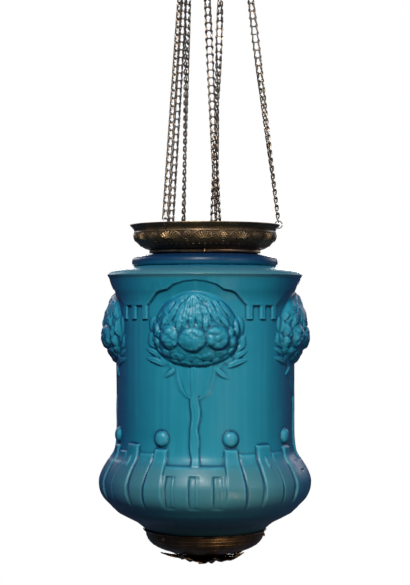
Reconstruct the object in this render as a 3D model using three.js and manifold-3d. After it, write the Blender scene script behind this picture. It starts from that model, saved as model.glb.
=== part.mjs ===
// Hanging hall lantern: an embossed blue glass shade between a brass gallery and a brass
// cup, on three ladder chains that run over ceiling pulleys and carry an oil lamp inside.
// Millimetres, +Z up. The origin is the middle of the ceiling plate's flat top face.
import * as THREE from 'three';
import { mergeVertices } from 'three/addons/utils/BufferGeometryUtils.js';
import Module from 'manifold-3d';

const wasm = await Module();
wasm.setup();

// Clearances
const SEAT_GAP = 0.3;
const RUNNING_GAP = 0.3;

// Facets round a turned piece
const LARGE_ROUND = 28;
const MIDDLE_ROUND = 12;
const BOLT_ROUND = 8;
const SMALL_ROUND = 6;

// How far a cutting tool reaches past what it cuts, and how flat facets must be to merge
const CUT_REACH = 8;
const FACET_TOLERANCE = 0.01;

// Ceiling fitting
const PLATE_RADIUS = 66;
const PLATE_THICKNESS = 4;
const PLATE_EDGE = 1.5;
const PLATE_SCREW_RADIUS = 2.5;
const PLATE_SCREW_CIRCLE = 52;
const AXLE_DROP = 30;
const PIN_RADIUS = 2;
const PIN_HEAD_RADIUS = 3.6;
const PIN_HEAD_LENGTH = 1.4;
const PULLEY_PITCH_RADIUS = 17.8;
const PULLEY_FLANGE_HEIGHT = 3;
const PULLEY_FLANGE_THICKNESS = 1.1;
const FORK_THICKNESS = 1.6;
const FORK_WIDTH = 13;

// Ladder chain: each link is a rung with two wires that hook round the next rung
const CHAIN_COUNT = 3;
const CHAIN_PITCH = 10;
const CHAIN_WIRE = 1.3;
const CHAIN_WAIST = 2.9;
const CHAIN_FLARE = 4.4;
const CHAIN_TOP_RADIUS = 53.5;
const FIRST_CHAIN_ANGLE = -1;
const PULLEY_SKEW = 22;
const HALF_TURNS = [
  { outside: -1, inside: 1 },
  { outside: 0, inside: 0 },
  { outside: 0, inside: 0 },
];

// Linking rings
const RING_RADIUS = 4.6;
const RING_WIRE = 1.3;
const RIM_RING_LEAN = 75;

// Brass gallery: the rim's tip is at height 0 of the lantern, RIM_DROP under the ceiling
const RIM_DROP = 355;
const BOWL_RADIUS = 89;
const LIP_WIDTH = 6.4;
const LIP_HEIGHT = 7;
const RIM_RADIUS = BOWL_RADIUS + LIP_WIDTH;
const BOWL_DEPTH = 31.5;
const SHEET = 1.2;
const LIP_HOLE_RADIUS = 2.6;
const COLLAR_HEIGHT = 4;
const COLLAR_WALL = 2.8;

// Glass shade
const NECK_RADIUS = 67.3;
const NECK_GROOVE = 2.3;
const NECK_TOP = -26.3;
const NECK_BEAD_HEIGHT = 3.7;
const GLASS_WALL = 3.4;
const ROLL_RADIUS = 92.5;
const SHOULDER_RADIUS = 123.6;
const SHOULDER_HEIGHT = -62.9;
const WALL_RADIUS = 110.5;
const WALL_TOP = -101;
const WALL_BOTTOM = -272;
const BULGE_RADIUS = 132.2;
const BULGE_HEIGHT = -323.2;
const FOOT_RADIUS = 75;
const FOOT_HEIGHT = -383.5;
const FOOT_TAPER = 5.5;
const FOOT_END = -393.5;

// Relief on the glass: four trees, with an arched skirt above and a railing below
const TREE_COUNT = 4;
const TREE_TURN = -96;
const SKIRT_RELIEF = 2.2;
const SKIRT_UNDERCUT = 1.4;
const ARCH_TOP = -71;
const ARCH_CURVE = 0.0306;
const ARCH_HALF_ANGLE = 17;
const SIDE_ARCH_DROP = 11.5;
const SIDE_ARCH_CURVE = 0.19;
const SIDE_ARCH_ANGLE = 19;
const SKIRT_EDGE = -101.8;
const CROWN_CENTRE = -130.2;
const CROWN_HALF_WIDTH = 55;
const CROWN_HALF_HEIGHT = 46;
const CROWN_PEAK = -138;
const CROWN_RELIEF = 19;
const CROWN_FULLNESS = 0.85;
const HOLLOW_INSET = 8;
const BLOSSOM_RELIEF = 4.6;
const LEAF_RELIEF = 2.9;
const LEAF_STEP = 0.06;
const PARTING_SHARE = 0.45;
const BLOSSOMS = [
  { across: -30, height: -138.4, radius: 12 },
  { across: -5, height: -143.6, radius: 16 },
  { across: 22.2, height: -143, radius: 14 },
];
const TRUNK_HALF_WIDTH = 5.6;
const FORK_HALF_WIDTH = 20;
const FORK_LENGTH = 27;
const TRUNK_RELIEF = 3;
const RAILING_RELIEF = 2.6;
const STEP_DROP = 1.2;
const RAILING_BOTTOM = -344;
const PANEL_HALF_ANGLE = 17;
const POST_END_ANGLE = 27;
const SLAT_END_ANGLE = 39.5;
const RAILING_GROOVE = 1.1;
const GROOVE_FLOOR = 0.35;
const PANEL_TOP = -294.5;
const POST_TOP = -275.5;
const SLAT_TOP = -281.3;
const TALL_POST_TOP = -271.2;

// Columns of the glass's surface in half a tree's width, in degrees from the tree: where each
// one lies on skirt and railing, and where on the crown. Every second one carries a leaf.
const GLASS_COLUMNS = [
  { plain: 0, crown: 0 },
  { plain: 5, crown: 5.2 },
  { plain: 10.5, crown: 10.4 },
  { plain: 16.4, crown: 15.6 },
  { plain: 18, crown: 20.8 },
  { plain: 26, crown: 26 },
  { plain: 33, crown: 29.5 },
  { plain: 40, crown: 40 },
  { plain: 45, crown: 45 },
];
const LAST_CROWN_COLUMN = 6;

const BALL_RADIUS = 9.6;
const BALL_ANGLE = 22.2;
const BALL_HEIGHT = -262.2;
const DENTIL_LENGTH = 16.5;
const DENTIL_WIDTH = 6.5;
const DENTIL_ANGLES = [35, 45, 55];

// Brass cup under the glass, with its leaf rosette
const CUP_LIP_RADIUS = 78.4;
const CUP_LIP_HEIGHT = -383.8;
const CUP_BOTTOM = -413;
const ROSETTE_LEAVES = 8;
const ROSETTE_RADIUS = 57;
const ROSETTE_HUB_RADIUS = 13;
const ROSETTE_RISE = 8;
const ROSETTE_THICKNESS = 1.6;
const ROSETTE_HUB_HEIGHT = 4.2;
const ROSETTE_TURN = 14;
const FINIAL_BOLT_RADIUS = 3;
const FINIAL_BOLT_RISE = 8;
const FINIAL_HEAD_RADIUS = 6.5;
const FINIAL_HEAD_LENGTH = 6;
const NUT_HEIGHT = 4;

// Holding screws
const SCREW_RADIUS = 1.2;
const SCREW_HEAD_RADIUS = 2;
const SCREW_HEAD_LENGTH = 2;
const GALLERY_SCREW_ANGLE = 150;
const CUP_SCREW_ANGLE = -132.4;

// Oil lamp on the inner ends of the chains
const LAMP_HOOK_RADIUS = 27.8;
const LAMP_HOOK_TURN = 69;
const CARRIER_HEIGHT = -24;
const CARRIER_THICKNESS = 2.4;
const CARRIER_WIDTH = 7;
const LUG_THICKNESS = 1.6;
const LUG_WIDTH = 7;
const LUG_HEIGHT = 9;
const LUG_HOLE_RISE = 4;
const LUG_HOLE_RADIUS = 1.7;
const ROD_RADIUS = 1.5;
const FONT_RADIUS = 42;
const FONT_TOP = -250;
const FONT_DEPTH = 46;
const FONT_RING_DROP = 9;
const FONT_RING_WIDTH = 4;
const FONT_RING_THICKNESS = 3;
const WELL_ROOM = 1;
const BURNER_RADIUS = 19;
const BURNER_HEIGHT = 24;
const WICK_WIDTH = 14;
const WICK_THICKNESS = 2.6;
const WICK_LENGTH = 46;
const KNOB_RADIUS = 6;
const KNOB_REACH = 36;
const KNOB_THICKNESS = 3;
const SHAFT_RADIUS = 1.2;
const SPROCKET_RADIUS = 4;
const SPROCKET_HALF_WIDTH = 2.5;
const CHIMNEY_LENGTH = 150;
const CHIMNEY_RADIUS = 15.5;
const CHIMNEY_BELLY = 20;
const CHIMNEY_WALL = 1.6;

const degrees = THREE.MathUtils.degToRad;
const lerp = THREE.MathUtils.lerp;
const DOWN_TO_RIM = -RIM_DROP;

const patinatedBrass = new THREE.MeshStandardMaterial({ color: 0x2c2114, roughness: 0.5, metalness: 0.9 });
const chainBronze = new THREE.MeshStandardMaterial({ color: 0x3a2a1c, roughness: 0.5, metalness: 0.9 });
const wornBrass = new THREE.MeshStandardMaterial({ color: 0x5a4026, roughness: 0.45, metalness: 0.95 });
const blueGlass = new THREE.MeshStandardMaterial({ color: 0x13647e, roughness: 0.45, metalness: 0 });
const clearGlass = new THREE.MeshStandardMaterial({ color: 0xdfe8e8, roughness: 0.08, metalness: 0 });
const cotton = new THREE.MeshStandardMaterial({ color: 0xe0d8c4, roughness: 0.95, metalness: 0 });

// Geometry tools

function signedVolume(geometry) {
  const position = geometry.attributes.position;
  const index = geometry.index.array;
  const a = new THREE.Vector3();
  const b = new THREE.Vector3();
  const c = new THREE.Vector3();
  let six = 0;
  for (let i = 0; i < index.length; i += 3) {
    a.fromBufferAttribute(position, index[i]);
    b.fromBufferAttribute(position, index[i + 1]);
    c.fromBufferAttribute(position, index[i + 2]);
    six += a.dot(b.cross(c));
  }
  return six / 6;
}

// Shared vertices merged, faces without area dropped and the rest turned to face out.
function closed(source) {
  source.deleteAttribute('normal');
  source.deleteAttribute('uv');
  const geometry = mergeVertices(source, 1e-4);
  const index = geometry.index.array;
  const kept = [];
  for (let i = 0; i < index.length; i += 3) {
    const corners = [index[i], index[i + 1], index[i + 2]];
    if (new Set(corners).size === 3) {
      kept.push(...corners);
    }
  }
  geometry.setIndex(kept);
  if (signedVolume(geometry) < 0) {
    geometry.setIndex(kept.reverse());
  }
  return geometry;
}

function fromFaces(vertices, faces) {
  const geometry = new THREE.BufferGeometry();
  const values = vertices.flatMap((v) => [v.x, v.y, v.z]);
  geometry.setAttribute('position', new THREE.Float32BufferAttribute(values, 3));
  geometry.setIndex(faces);
  return closed(geometry);
}

function toSolid(geometry) {
  return new wasm.Manifold(new wasm.Mesh({
    numProp: 3,
    vertProperties: new Float32Array(geometry.attributes.position.array),
    triVerts: new Uint32Array(geometry.index.array),
  }));
}

function fromSolid(solid) {
  const mesh = solid.simplify(FACET_TOLERANCE).getMesh();
  const geometry = new THREE.BufferGeometry();
  geometry.setAttribute('position', new THREE.Float32BufferAttribute(mesh.vertProperties, 3));
  geometry.setIndex(Array.from(mesh.triVerts));
  return geometry;
}

function joined(...geometries) {
  return fromSolid(geometries.map(toSolid).reduce((sum, geometry) => sum.add(geometry)));
}

function cut(base, ...tools) {
  return fromSolid(tools.map(toSolid).reduce((rest, tool) => rest.subtract(tool), toSolid(base)));
}

// A profile of [radius, height] pairs turned about Z.
function turned(profile, segments) {
  const points = profile.map(([radius, height]) => new THREE.Vector2(radius, height));
  const geometry = new THREE.LatheGeometry(points, segments);
  geometry.rotateX(Math.PI / 2);
  return closed(geometry);
}

// A ring or shell: the outer profile, then the inner one, closed on itself.
function shell(outer, inner, segments) {
  return turned([...outer, ...inner, outer[0]], segments);
}

function box(width, depth, height) {
  return closed(new THREE.BoxGeometry(width, depth, height));
}

// A round bar along +X from start to end.
function barAlongX(radius, start, end, sides) {
  const geometry = new THREE.CylinderGeometry(radius, radius, end - start, sides);
  geometry.rotateZ(-Math.PI / 2);
  geometry.translate((start + end) / 2, 0, 0);
  return closed(geometry);
}

function barBetween(from, to, radius, sides) {
  const along = new THREE.Vector3().subVectors(to, from);
  const geometry = new THREE.CylinderGeometry(radius, radius, along.length(), sides);
  const turn = new THREE.Quaternion().setFromUnitVectors(new THREE.Vector3(0, 1, 0), along.normalize());
  geometry.applyQuaternion(turn);
  geometry.translate((from.x + to.x) / 2, (from.y + to.y) / 2, (from.z + to.z) / 2);
  return closed(geometry);
}

function polar(radius, angle, height) {
  return new THREE.Vector3(
    radius * Math.cos(degrees(angle)),
    radius * Math.sin(degrees(angle)),
    height,
  );
}

function piece(name, geometry, material) {
  const mesh = new THREE.Mesh(geometry, material);
  mesh.name = name;
  return mesh;
}

// Places that chains, pulleys and rings share, in the first chain's own plane:
// +X points from the lantern's axis to that chain's hole in the rim.

const lipSlope = new THREE.Vector2(RIM_RADIUS - BOWL_RADIUS, LIP_HEIGHT).normalize();
const lipMiddle = new THREE.Vector2((RIM_RADIUS + BOWL_RADIUS) / 2, -LIP_HEIGHT / 2);
const rimRingCentre = new THREE.Vector3(
  lipMiddle.x + RING_RADIUS * Math.cos(degrees(RIM_RING_LEAN)),
  0,
  DOWN_TO_RIM + lipMiddle.y + RING_RADIUS * Math.sin(degrees(RIM_RING_LEAN)),
);
const ringToRung = RING_RADIUS - RING_WIRE / 2 - CHAIN_WIRE / 2 - SEAT_GAP;
const rimEnd = rimRingCentre.clone().add(new THREE.Vector3(0, 0, ringToRung));

const skewDirection = new THREE.Vector3(Math.cos(degrees(PULLEY_SKEW)), -Math.sin(degrees(PULLEY_SKEW)), 0);
const axleDirection = new THREE.Vector3(Math.sin(degrees(PULLEY_SKEW)), Math.cos(degrees(PULLEY_SKEW)), 0);
const outerTangent = new THREE.Vector3(CHAIN_TOP_RADIUS, 0, -AXLE_DROP);
const pulleyCentre = outerTangent.clone().addScaledVector(skewDirection, -PULLEY_PITCH_RADIUS);
const innerTangent = outerTangent.clone().addScaledVector(skewDirection, -2 * PULLEY_PITCH_RADIUS);

const lugHoleHeight = DOWN_TO_RIM + CARRIER_HEIGHT + LUG_HOLE_RISE;
const lampRingCentre = polar(LAMP_HOOK_RADIUS, LAMP_HOOK_TURN, lugHoleHeight + RING_RADIUS);
const lampEnd = lampRingCentre.clone().add(new THREE.Vector3(0, 0, ringToRung));

// Ladder chain

// Rungs along a straight stretch, with the chain's flat side turning as it goes.
function straightRungs(from, to, firstTurn, lastTurn, easing) {
  const along = new THREE.Vector3().subVectors(to, from);
  const spaces = Math.round(along.length() / CHAIN_PITCH);
  const direction = along.clone().normalize();
  return Array.from({ length: spaces + 1 }, (unused, k) => {
    const turn = lerp(firstTurn, lastTurn, easing(k / spaces));
    const level = new THREE.Vector3(Math.cos(degrees(turn)), Math.sin(degrees(turn)), 0);
    const across = level.addScaledVector(direction, -level.dot(direction)).normalize();
    return { at: from.clone().addScaledVector(along, k / spaces), direction, across };
  });
}

// Rungs over the top of the pulley, evenly spaced between the two straight stretches.
const wrapCount = Math.round((Math.PI * PULLEY_PITCH_RADIUS) / CHAIN_PITCH - 0.5);
const wrapStep = 180 / (wrapCount + 0.5);
const firstBelow = (degrees(wrapStep) * PULLEY_PITCH_RADIUS) / 4;

function wrapRungs() {
  return Array.from({ length: wrapCount }, (unused, k) => {
    const angle = degrees(wrapStep * (k + 0.75));
    const at = pulleyCentre.clone();
    at.addScaledVector(skewDirection, PULLEY_PITCH_RADIUS * Math.cos(angle));
    at.z += PULLEY_PITCH_RADIUS * Math.sin(angle);
    const direction = skewDirection.clone().multiplyScalar(-Math.sin(angle));
    direction.z = Math.cos(angle);
    return { at, direction, across: axleDirection };
  });
}

// One closed solid: two three-sided wires, joined by the rungs. Each opening is wide under its
// own rung and narrows to the next one, as the wires do where they hook round it.
// Where the next stretch's first rung is given, the last wires reach for it.
function ladder(rungs, nextRung) {
  const vertices = [];
  const faces = [];
  const half = CHAIN_WIRE / 2;

  function face(corners, side) {
    const facing = side > 0 ? corners : [...corners].reverse();
    for (let k = 1; k < facing.length - 1; k += 1) {
      faces.push(facing[0], facing[k], facing[k + 1]);
    }
  }

  // The pair of corners that a wire has on its inner face.
  function innerPair({ at, across, normal }, side, width) {
    const first = vertices.length;
    for (const lift of [half, -half]) {
      vertices.push(at.clone().addScaledVector(across, side * (width - half)).addScaledVector(normal, lift));
    }
    return [first, first + 1];
  }

  function section(place, side, width) {
    const outside = vertices.length;
    vertices.push(place.at.clone().addScaledVector(place.across, side * (width + half)));
    return [outside, ...innerPair(place, side, width)];
  }

  function moved({ at, direction, across }, distance) {
    const normal = new THREE.Vector3().crossVectors(across, direction);
    return { at: at.clone().addScaledVector(direction, distance), across, normal };
  }

  const wires = [1, -1].map((side) => rungs.map((rung) => ({
    side,
    before: innerPair(moved(rung, -half), side, CHAIN_WAIST),
    after: section(moved(rung, half), side, CHAIN_FLARE),
  })));

  wires.forEach((wire) => {
    wire.forEach(({ side, before: [front, back], after: [outer, upperFront, upperBack] }, k) => {
      face([front, upperFront, outer], side);
      face([back, outer, upperBack], side);
      if (k === 0) {
        face([front, outer, back], side);
        return;
      }
      const [lowerOuter, lowerFront, lowerBack] = wire[k - 1].after;
      face([lowerOuter, lowerFront, front], side);
      face([lowerOuter, front, outer], side);
      face([lowerBack, lowerOuter, back], side);
      face([lowerOuter, outer, back], side);
      face([lowerFront, lowerBack, back, front], side);
    });
    const { side, after } = wire[wire.length - 1];
    let end = after;
    if (nextRung) {
      const { at, across } = rungs[rungs.length - 1];
      const reach = new THREE.Vector3().subVectors(nextRung, at).normalize();
      const stop = nextRung.clone().addScaledVector(reach, -half - SEAT_GAP);
      const ahead = new THREE.Vector3().crossVectors(across, reach);
      end = section({ at: stop, across, normal: ahead }, side, CHAIN_WAIST);
      [0, 1, 2].forEach((corner) => {
        const next = (corner + 1) % 3;
        face([after[corner], after[next], end[next], end[corner]], side);
      });
    }
    face(end, side);
  });

  rungs.forEach((unused, k) => {
    const [left, right] = [wires[0][k], wires[1][k]];
    const [, leftFront, leftBack] = left.after;
    const [, rightFront, rightBack] = right.after;
    face([left.before[0], leftFront, rightFront, right.before[0]], -1);
    face([left.before[1], leftBack, rightBack, right.before[1]], 1);
    face([left.before[0], left.before[1], right.before[1], right.before[0]], 1);
    face([leftFront, leftBack, rightBack, rightFront], -1);
  });
  return fromFaces(vertices, faces);
}

const below = new THREE.Vector3(0, 0, -firstBelow);
const outerTop = outerTangent.clone().add(below);
const innerTop = innerTangent.clone().add(below);
const rimTurn = 90;
const axleTurn = 90 - PULLEY_SKEW;
const lampTurn = LAMP_HOOK_TURN + 90;
const quickAtPulley = (t) => 1 - (1 - t) ** 2;

function outsideStrand(halfTurns) {
  const rungs = straightRungs(outerTop, rimEnd, axleTurn, rimTurn + 180 * halfTurns, quickAtPulley);
  const upward = rungs.reverse().map((rung) => ({ ...rung, direction: rung.direction.clone().negate() }));
  return ladder(upward, wrapRungs()[0].at);
}

function overPulley() {
  return ladder(wrapRungs(), innerTop);
}

function insideStrand(halfTurns) {
  const rungs = straightRungs(innerTop, lampEnd, axleTurn, lampTurn + 180 * halfTurns, quickAtPulley);
  return ladder(rungs);
}

// Ceiling fitting

function ceilingPlate() {
  const disc = turned([
    [0, 0],
    [PLATE_RADIUS, 0],
    [PLATE_RADIUS, -PLATE_THICKNESS / 2],
    [PLATE_RADIUS - PLATE_EDGE, -PLATE_THICKNESS],
    [0, -PLATE_THICKNESS],
  ], LARGE_ROUND);
  const holes = chainAngles.map((angle) => {
    const depth = PLATE_THICKNESS * 3;
    const hole = new THREE.CylinderGeometry(PLATE_SCREW_RADIUS, PLATE_SCREW_RADIUS, depth, SMALL_ROUND);
    hole.rotateX(Math.PI / 2);
    const place = polar(PLATE_SCREW_CIRCLE, angle + 180 / CHAIN_COUNT, 0);
    hole.translate(place.x, place.y, 0);
    return closed(hole);
  });
  return cut(disc, ...holes);
}

const pulleyHalfWidth = CHAIN_FLARE + CHAIN_WIRE / 2 + RUNNING_GAP + PULLEY_FLANGE_THICKNESS;
const cheekStart = pulleyHalfWidth + RUNNING_GAP;
const forkHalfWidth = cheekStart + FORK_THICKNESS;

// Fork, pulley and pin are made about the axle, which lies along Y, and set on its place.
function pulleyFork() {
  const top = AXLE_DROP - PLATE_THICKNESS - SEAT_GAP;
  const outline = new THREE.Shape();
  outline.moveTo(-FORK_WIDTH / 2, top);
  outline.lineTo(-FORK_WIDTH / 2, 0);
  outline.absarc(0, 0, FORK_WIDTH / 2, Math.PI, 2 * Math.PI, false);
  outline.lineTo(FORK_WIDTH / 2, top);
  outline.closePath();
  const hole = new THREE.Path();
  hole.absarc(0, 0, PIN_RADIUS + SEAT_GAP, 0, 2 * Math.PI, true);
  outline.holes.push(hole);
  const cheeks = [-forkHalfWidth, cheekStart].map((start) => {
    const sheet = { depth: FORK_THICKNESS, bevelEnabled: false, curveSegments: 4 };
    const cheek = new THREE.ExtrudeGeometry(outline, sheet);
    cheek.rotateX(Math.PI / 2);
    cheek.translate(0, start + FORK_THICKNESS, 0);
    return closed(cheek);
  });
  const web = box(FORK_WIDTH, 2 * forkHalfWidth, FORK_THICKNESS);
  web.translate(0, 0, top - FORK_THICKNESS / 2);
  return joined(web, ...cheeks);
}

function pulleyWheel() {
  const bore = PIN_RADIUS + RUNNING_GAP;
  const chord = PULLEY_PITCH_RADIUS * Math.cos(degrees(wrapStep / 2));
  const groove = chord - CHAIN_WIRE / 2 - RUNNING_GAP;
  const flange = PULLEY_PITCH_RADIUS + PULLEY_FLANGE_HEIGHT;
  const inside = pulleyHalfWidth - PULLEY_FLANGE_THICKNESS;
  const wheel = turned([
    [bore, pulleyHalfWidth],
    [flange, pulleyHalfWidth],
    [groove, inside],
    [groove, -inside],
    [flange, -pulleyHalfWidth],
    [bore, -pulleyHalfWidth],
    [bore, pulleyHalfWidth],
  ], MIDDLE_ROUND);
  wheel.rotateX(Math.PI / 2);
  return wheel;
}

function pulleyPin() {
  const inner = forkHalfWidth + SEAT_GAP;
  const outer = inner + PIN_HEAD_LENGTH;
  const pin = turned([
    [0, outer],
    [PIN_HEAD_RADIUS, outer],
    [PIN_HEAD_RADIUS, inner],
    [PIN_RADIUS, inner],
    [PIN_RADIUS, -inner],
    [PIN_HEAD_RADIUS, -inner],
    [PIN_HEAD_RADIUS, -outer],
    [0, -outer],
  ], SMALL_ROUND);
  pin.rotateX(Math.PI / 2);
  return pin;
}

// Ring in the plane of the lantern's axis and the chain.
function linkingRing() {
  const ring = new THREE.TorusGeometry(RING_RADIUS, RING_WIRE / 2, 4, 8);
  ring.rotateX(Math.PI / 2);
  return closed(ring);
}

// Brass gallery, in heights under the rim's tip

const collarTop = -BOWL_DEPTH - SEAT_GAP;
const collarBottom = collarTop - COLLAR_HEIGHT;
const collarBore = NECK_RADIUS + SEAT_GAP;
const collarRadius = collarBore + COLLAR_WALL;
const galleryScrewHeight = (collarTop + collarBottom) / 2;

function galleryBowl() {
  const outer = [
    [RIM_RADIUS, 0],
    [BOWL_RADIUS + SHEET / 2, -LIP_HEIGHT],
    [BOWL_RADIUS, -LIP_HEIGHT * 1.9],
    [BOWL_RADIUS - 3.5, -BOWL_DEPTH * 0.6],
    [BOWL_RADIUS - 8.5, -BOWL_DEPTH * 0.79],
    [collarRadius + 0.7, -BOWL_DEPTH],
    [collarBore, -BOWL_DEPTH],
  ];
  const inner = [
    [collarBore, -BOWL_DEPTH + SHEET],
    [collarRadius - 0.3, -BOWL_DEPTH + SHEET],
    [BOWL_RADIUS - 9.5, -BOWL_DEPTH * 0.79 + SHEET * 0.6],
    [BOWL_RADIUS - SHEET, -LIP_HEIGHT * 1.9],
    [BOWL_RADIUS - SHEET / 2, -LIP_HEIGHT + SHEET / 2],
    [RIM_RADIUS - SHEET, SHEET / 2],
  ];
  const holes = chainAngles.map((angle) => {
    const hole = new THREE.CylinderGeometry(LIP_HOLE_RADIUS, LIP_HOLE_RADIUS, SHEET * 6, SMALL_ROUND);
    hole.rotateZ(Math.atan2(lipSlope.y, lipSlope.x));
    hole.rotateX(Math.PI / 2);
    hole.translate(lipMiddle.x, 0, lipMiddle.y);
    hole.rotateZ(degrees(angle));
    return closed(hole);
  });
  return cut(shell(outer, inner, LARGE_ROUND), ...holes);
}

function screwHole(radius, height, angle) {
  const hole = barAlongX(SCREW_RADIUS + SEAT_GAP, radius - CUT_REACH, radius + CUT_REACH, SMALL_ROUND);
  hole.translate(0, 0, height);
  hole.rotateZ(degrees(angle));
  return hole;
}

function threefold(firstAngle) {
  return [0, 120, 240].map((step) => firstAngle + step);
}

function galleryCollar() {
  const ring = shell(
    [[collarRadius, collarTop], [collarRadius + 0.4, galleryScrewHeight], [collarRadius, collarBottom]],
    [[collarBore, collarBottom], [collarBore, collarTop]],
    LARGE_ROUND,
  );
  const holes = threefold(GALLERY_SCREW_ANGLE).map((angle) => screwHole(collarRadius, galleryScrewHeight, angle));
  return cut(ring, ...holes);
}

// Screw along +X whose head rests on an outside radius and whose tip stops at an inside one.
function holdingScrew(outside, tip) {
  const start = outside + SEAT_GAP;
  const screw = turned([
    [0, tip],
    [SCREW_RADIUS, tip],
    [SCREW_RADIUS, start],
    [SCREW_HEAD_RADIUS, start],
    [SCREW_HEAD_RADIUS * 0.85, start + SCREW_HEAD_LENGTH],
    [0, start + SCREW_HEAD_LENGTH],
  ], SMALL_ROUND);
  screw.rotateY(Math.PI / 2);
  return screw;
}

// Glass shade, in heights under the rim's tip

// How far the skirt hangs down, by the angle from the nearest tree in degrees.
function skirtEdge(fromTree) {
  const a = Math.abs(fromTree);
  const middleArch = ARCH_TOP - ARCH_CURVE * a * a;
  if (a < ARCH_HALF_ANGLE) {
    return Math.max(SKIRT_EDGE, middleArch);
  }
  const sideArch = ARCH_TOP - SIDE_ARCH_DROP - SIDE_ARCH_CURVE * Math.max(0, a - SIDE_ARCH_ANGLE) ** 2;
  return Math.max(SKIRT_EDGE, Math.min(middleArch, sideArch));
}

function underSkirt(fromTree) {
  return skirtEdge(fromTree) - SKIRT_UNDERCUT;
}

// Top of the railing: a low panel under the tree, posts beside it and slats between posts.
function railingTop(fromTree) {
  const a = Math.abs(fromTree);
  if (a < PANEL_HALF_ANGLE) {
    return PANEL_TOP;
  }
  if (a < POST_END_ANGLE) {
    return POST_TOP;
  }
  return a < SLAT_END_ANGLE ? SLAT_TOP : TALL_POST_TOP;
}

// How far the crown swells out, most under its middle. The hollow behind it is smaller all
// round by the inset.
function crownHeight(fromTree, height, inset = 0) {
  const across = (WALL_RADIUS * degrees(fromTree)) / (CROWN_HALF_WIDTH - inset);
  const end = CROWN_CENTRE + (height > CROWN_PEAK ? CROWN_HALF_HEIGHT : -CROWN_HALF_HEIGHT);
  const up = (height - CROWN_PEAK) / (Math.abs(end - CROWN_PEAK) - inset);
  const inside = 1 - across * across - up * up;
  return inside > 0 ? CROWN_RELIEF * inside ** CROWN_FULLNESS : 0;
}

function blossomHeight(fromTree, height) {
  const across = WALL_RADIUS * degrees(fromTree);
  return Math.max(...BLOSSOMS.map((blossom) => {
    const distance = Math.hypot(across - blossom.across, height - blossom.height) / blossom.radius;
    return distance < 1 ? BLOSSOM_RELIEF * Math.sqrt(1 - distance * distance) : 0;
  }));
}

function railingHeight(fromTree) {
  const a = Math.abs(fromTree);
  const grooves = [PANEL_HALF_ANGLE, POST_END_ANGLE, SLAT_END_ANGLE];
  const nearest = Math.min(...grooves.map((groove) => Math.abs(groove - a)));
  return RAILING_RELIEF * (nearest < RAILING_GROOVE ? GROOVE_FLOOR : 1);
}

// Radius of the plain glass between the shoulder and the foot.
const bodyProfile = new THREE.SplineCurve([
  [SHOULDER_RADIUS - 2.2, SHOULDER_HEIGHT - 3.8],
  [SHOULDER_RADIUS - 5.2, SHOULDER_HEIGHT - 10],
  [WALL_RADIUS + 4.3, WALL_TOP + 19],
  [WALL_RADIUS + 1.2, WALL_TOP + 9],
  [WALL_RADIUS, WALL_TOP - 2],
  [WALL_RADIUS, CROWN_CENTRE],
  [WALL_RADIUS, (WALL_TOP + WALL_BOTTOM) / 2],
  [WALL_RADIUS, WALL_BOTTOM],
  [WALL_RADIUS + 1.5, WALL_BOTTOM - 14],
  [lerp(WALL_RADIUS, BULGE_RADIUS, 0.45), lerp(WALL_BOTTOM, BULGE_HEIGHT, 0.46)],
  [lerp(WALL_RADIUS, BULGE_RADIUS, 0.86), lerp(WALL_BOTTOM, BULGE_HEIGHT, 0.76)],
  [BULGE_RADIUS, BULGE_HEIGHT],
  [BULGE_RADIUS - 3.5, BULGE_HEIGHT - 17.5],
  [BULGE_RADIUS - 15, BULGE_HEIGHT - 31.8],
].map(([radius, height]) => new THREE.Vector2(radius, height)));
const bodySamples = bodyProfile.getPoints(160);

function bodyRadius(height) {
  const k = bodySamples.findIndex((point) => point.y <= height);
  if (k <= 0) {
    return bodySamples[k === 0 ? 0 : bodySamples.length - 1].x;
  }
  const [above, below] = [bodySamples[k - 1], bodySamples[k]];
  return lerp(above.x, below.x, (above.y - height) / (above.y - below.y));
}

const treePitch = 360 / TREE_COUNT;
const treeAngles = Array.from({ length: TREE_COUNT }, (unused, tree) => TREE_TURN + tree * treePitch);
const grooveRadius = NECK_RADIUS - NECK_GROOVE;
const beadBottom = NECK_TOP - NECK_BEAD_HEIGHT;
const glassCollarTop = collarBottom - SEAT_GAP;
const crownBottom = CROWN_CENTRE - CROWN_HALF_HEIGHT;
const bulgeEnd = BULGE_HEIGHT - 31.8;

function plain(radius, height) {
  return () => [radius, height];
}

function onBody(heightAt, reliefAt) {
  return ({ plain: fromTree }) => {
    const height = heightAt(fromTree);
    return [bodyRadius(height) + reliefAt(fromTree, height), height];
  };
}

// A row on the crown, at a share of the way down from the skirt. Its columns fall from the
// crown's top like hair from a parting, and their leaves end a step under the ones between.
function onCrown(share, leafRelief, blossoms) {
  return ({ number, plain: underSkirtAt, crown }) => {
    const leaf = number % 2 === 0;
    const step = leaf || leafRelief === 0 ? 0 : LEAF_STEP;
    const height = lerp(underSkirt(underSkirtAt), crownBottom, share - step);
    const up = (height - CROWN_CENTRE) / CROWN_HALF_HEIGHT;
    const parted = number <= LAST_CROWN_COLUMN && up > 0;
    const spread = parted ? Math.sqrt(Math.max(PARTING_SHARE ** 2, 1 - up * up)) : 1;
    const fromTree = crown * spread;
    const base = crownHeight(fromTree, height);
    const relief = (leaf ? leafRelief : 0) + (blossoms ? blossomHeight(fromTree, height) : 0);
    return [bodyRadius(height) + base + (base > 0 ? relief : 0), height, fromTree];
  };
}

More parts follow.
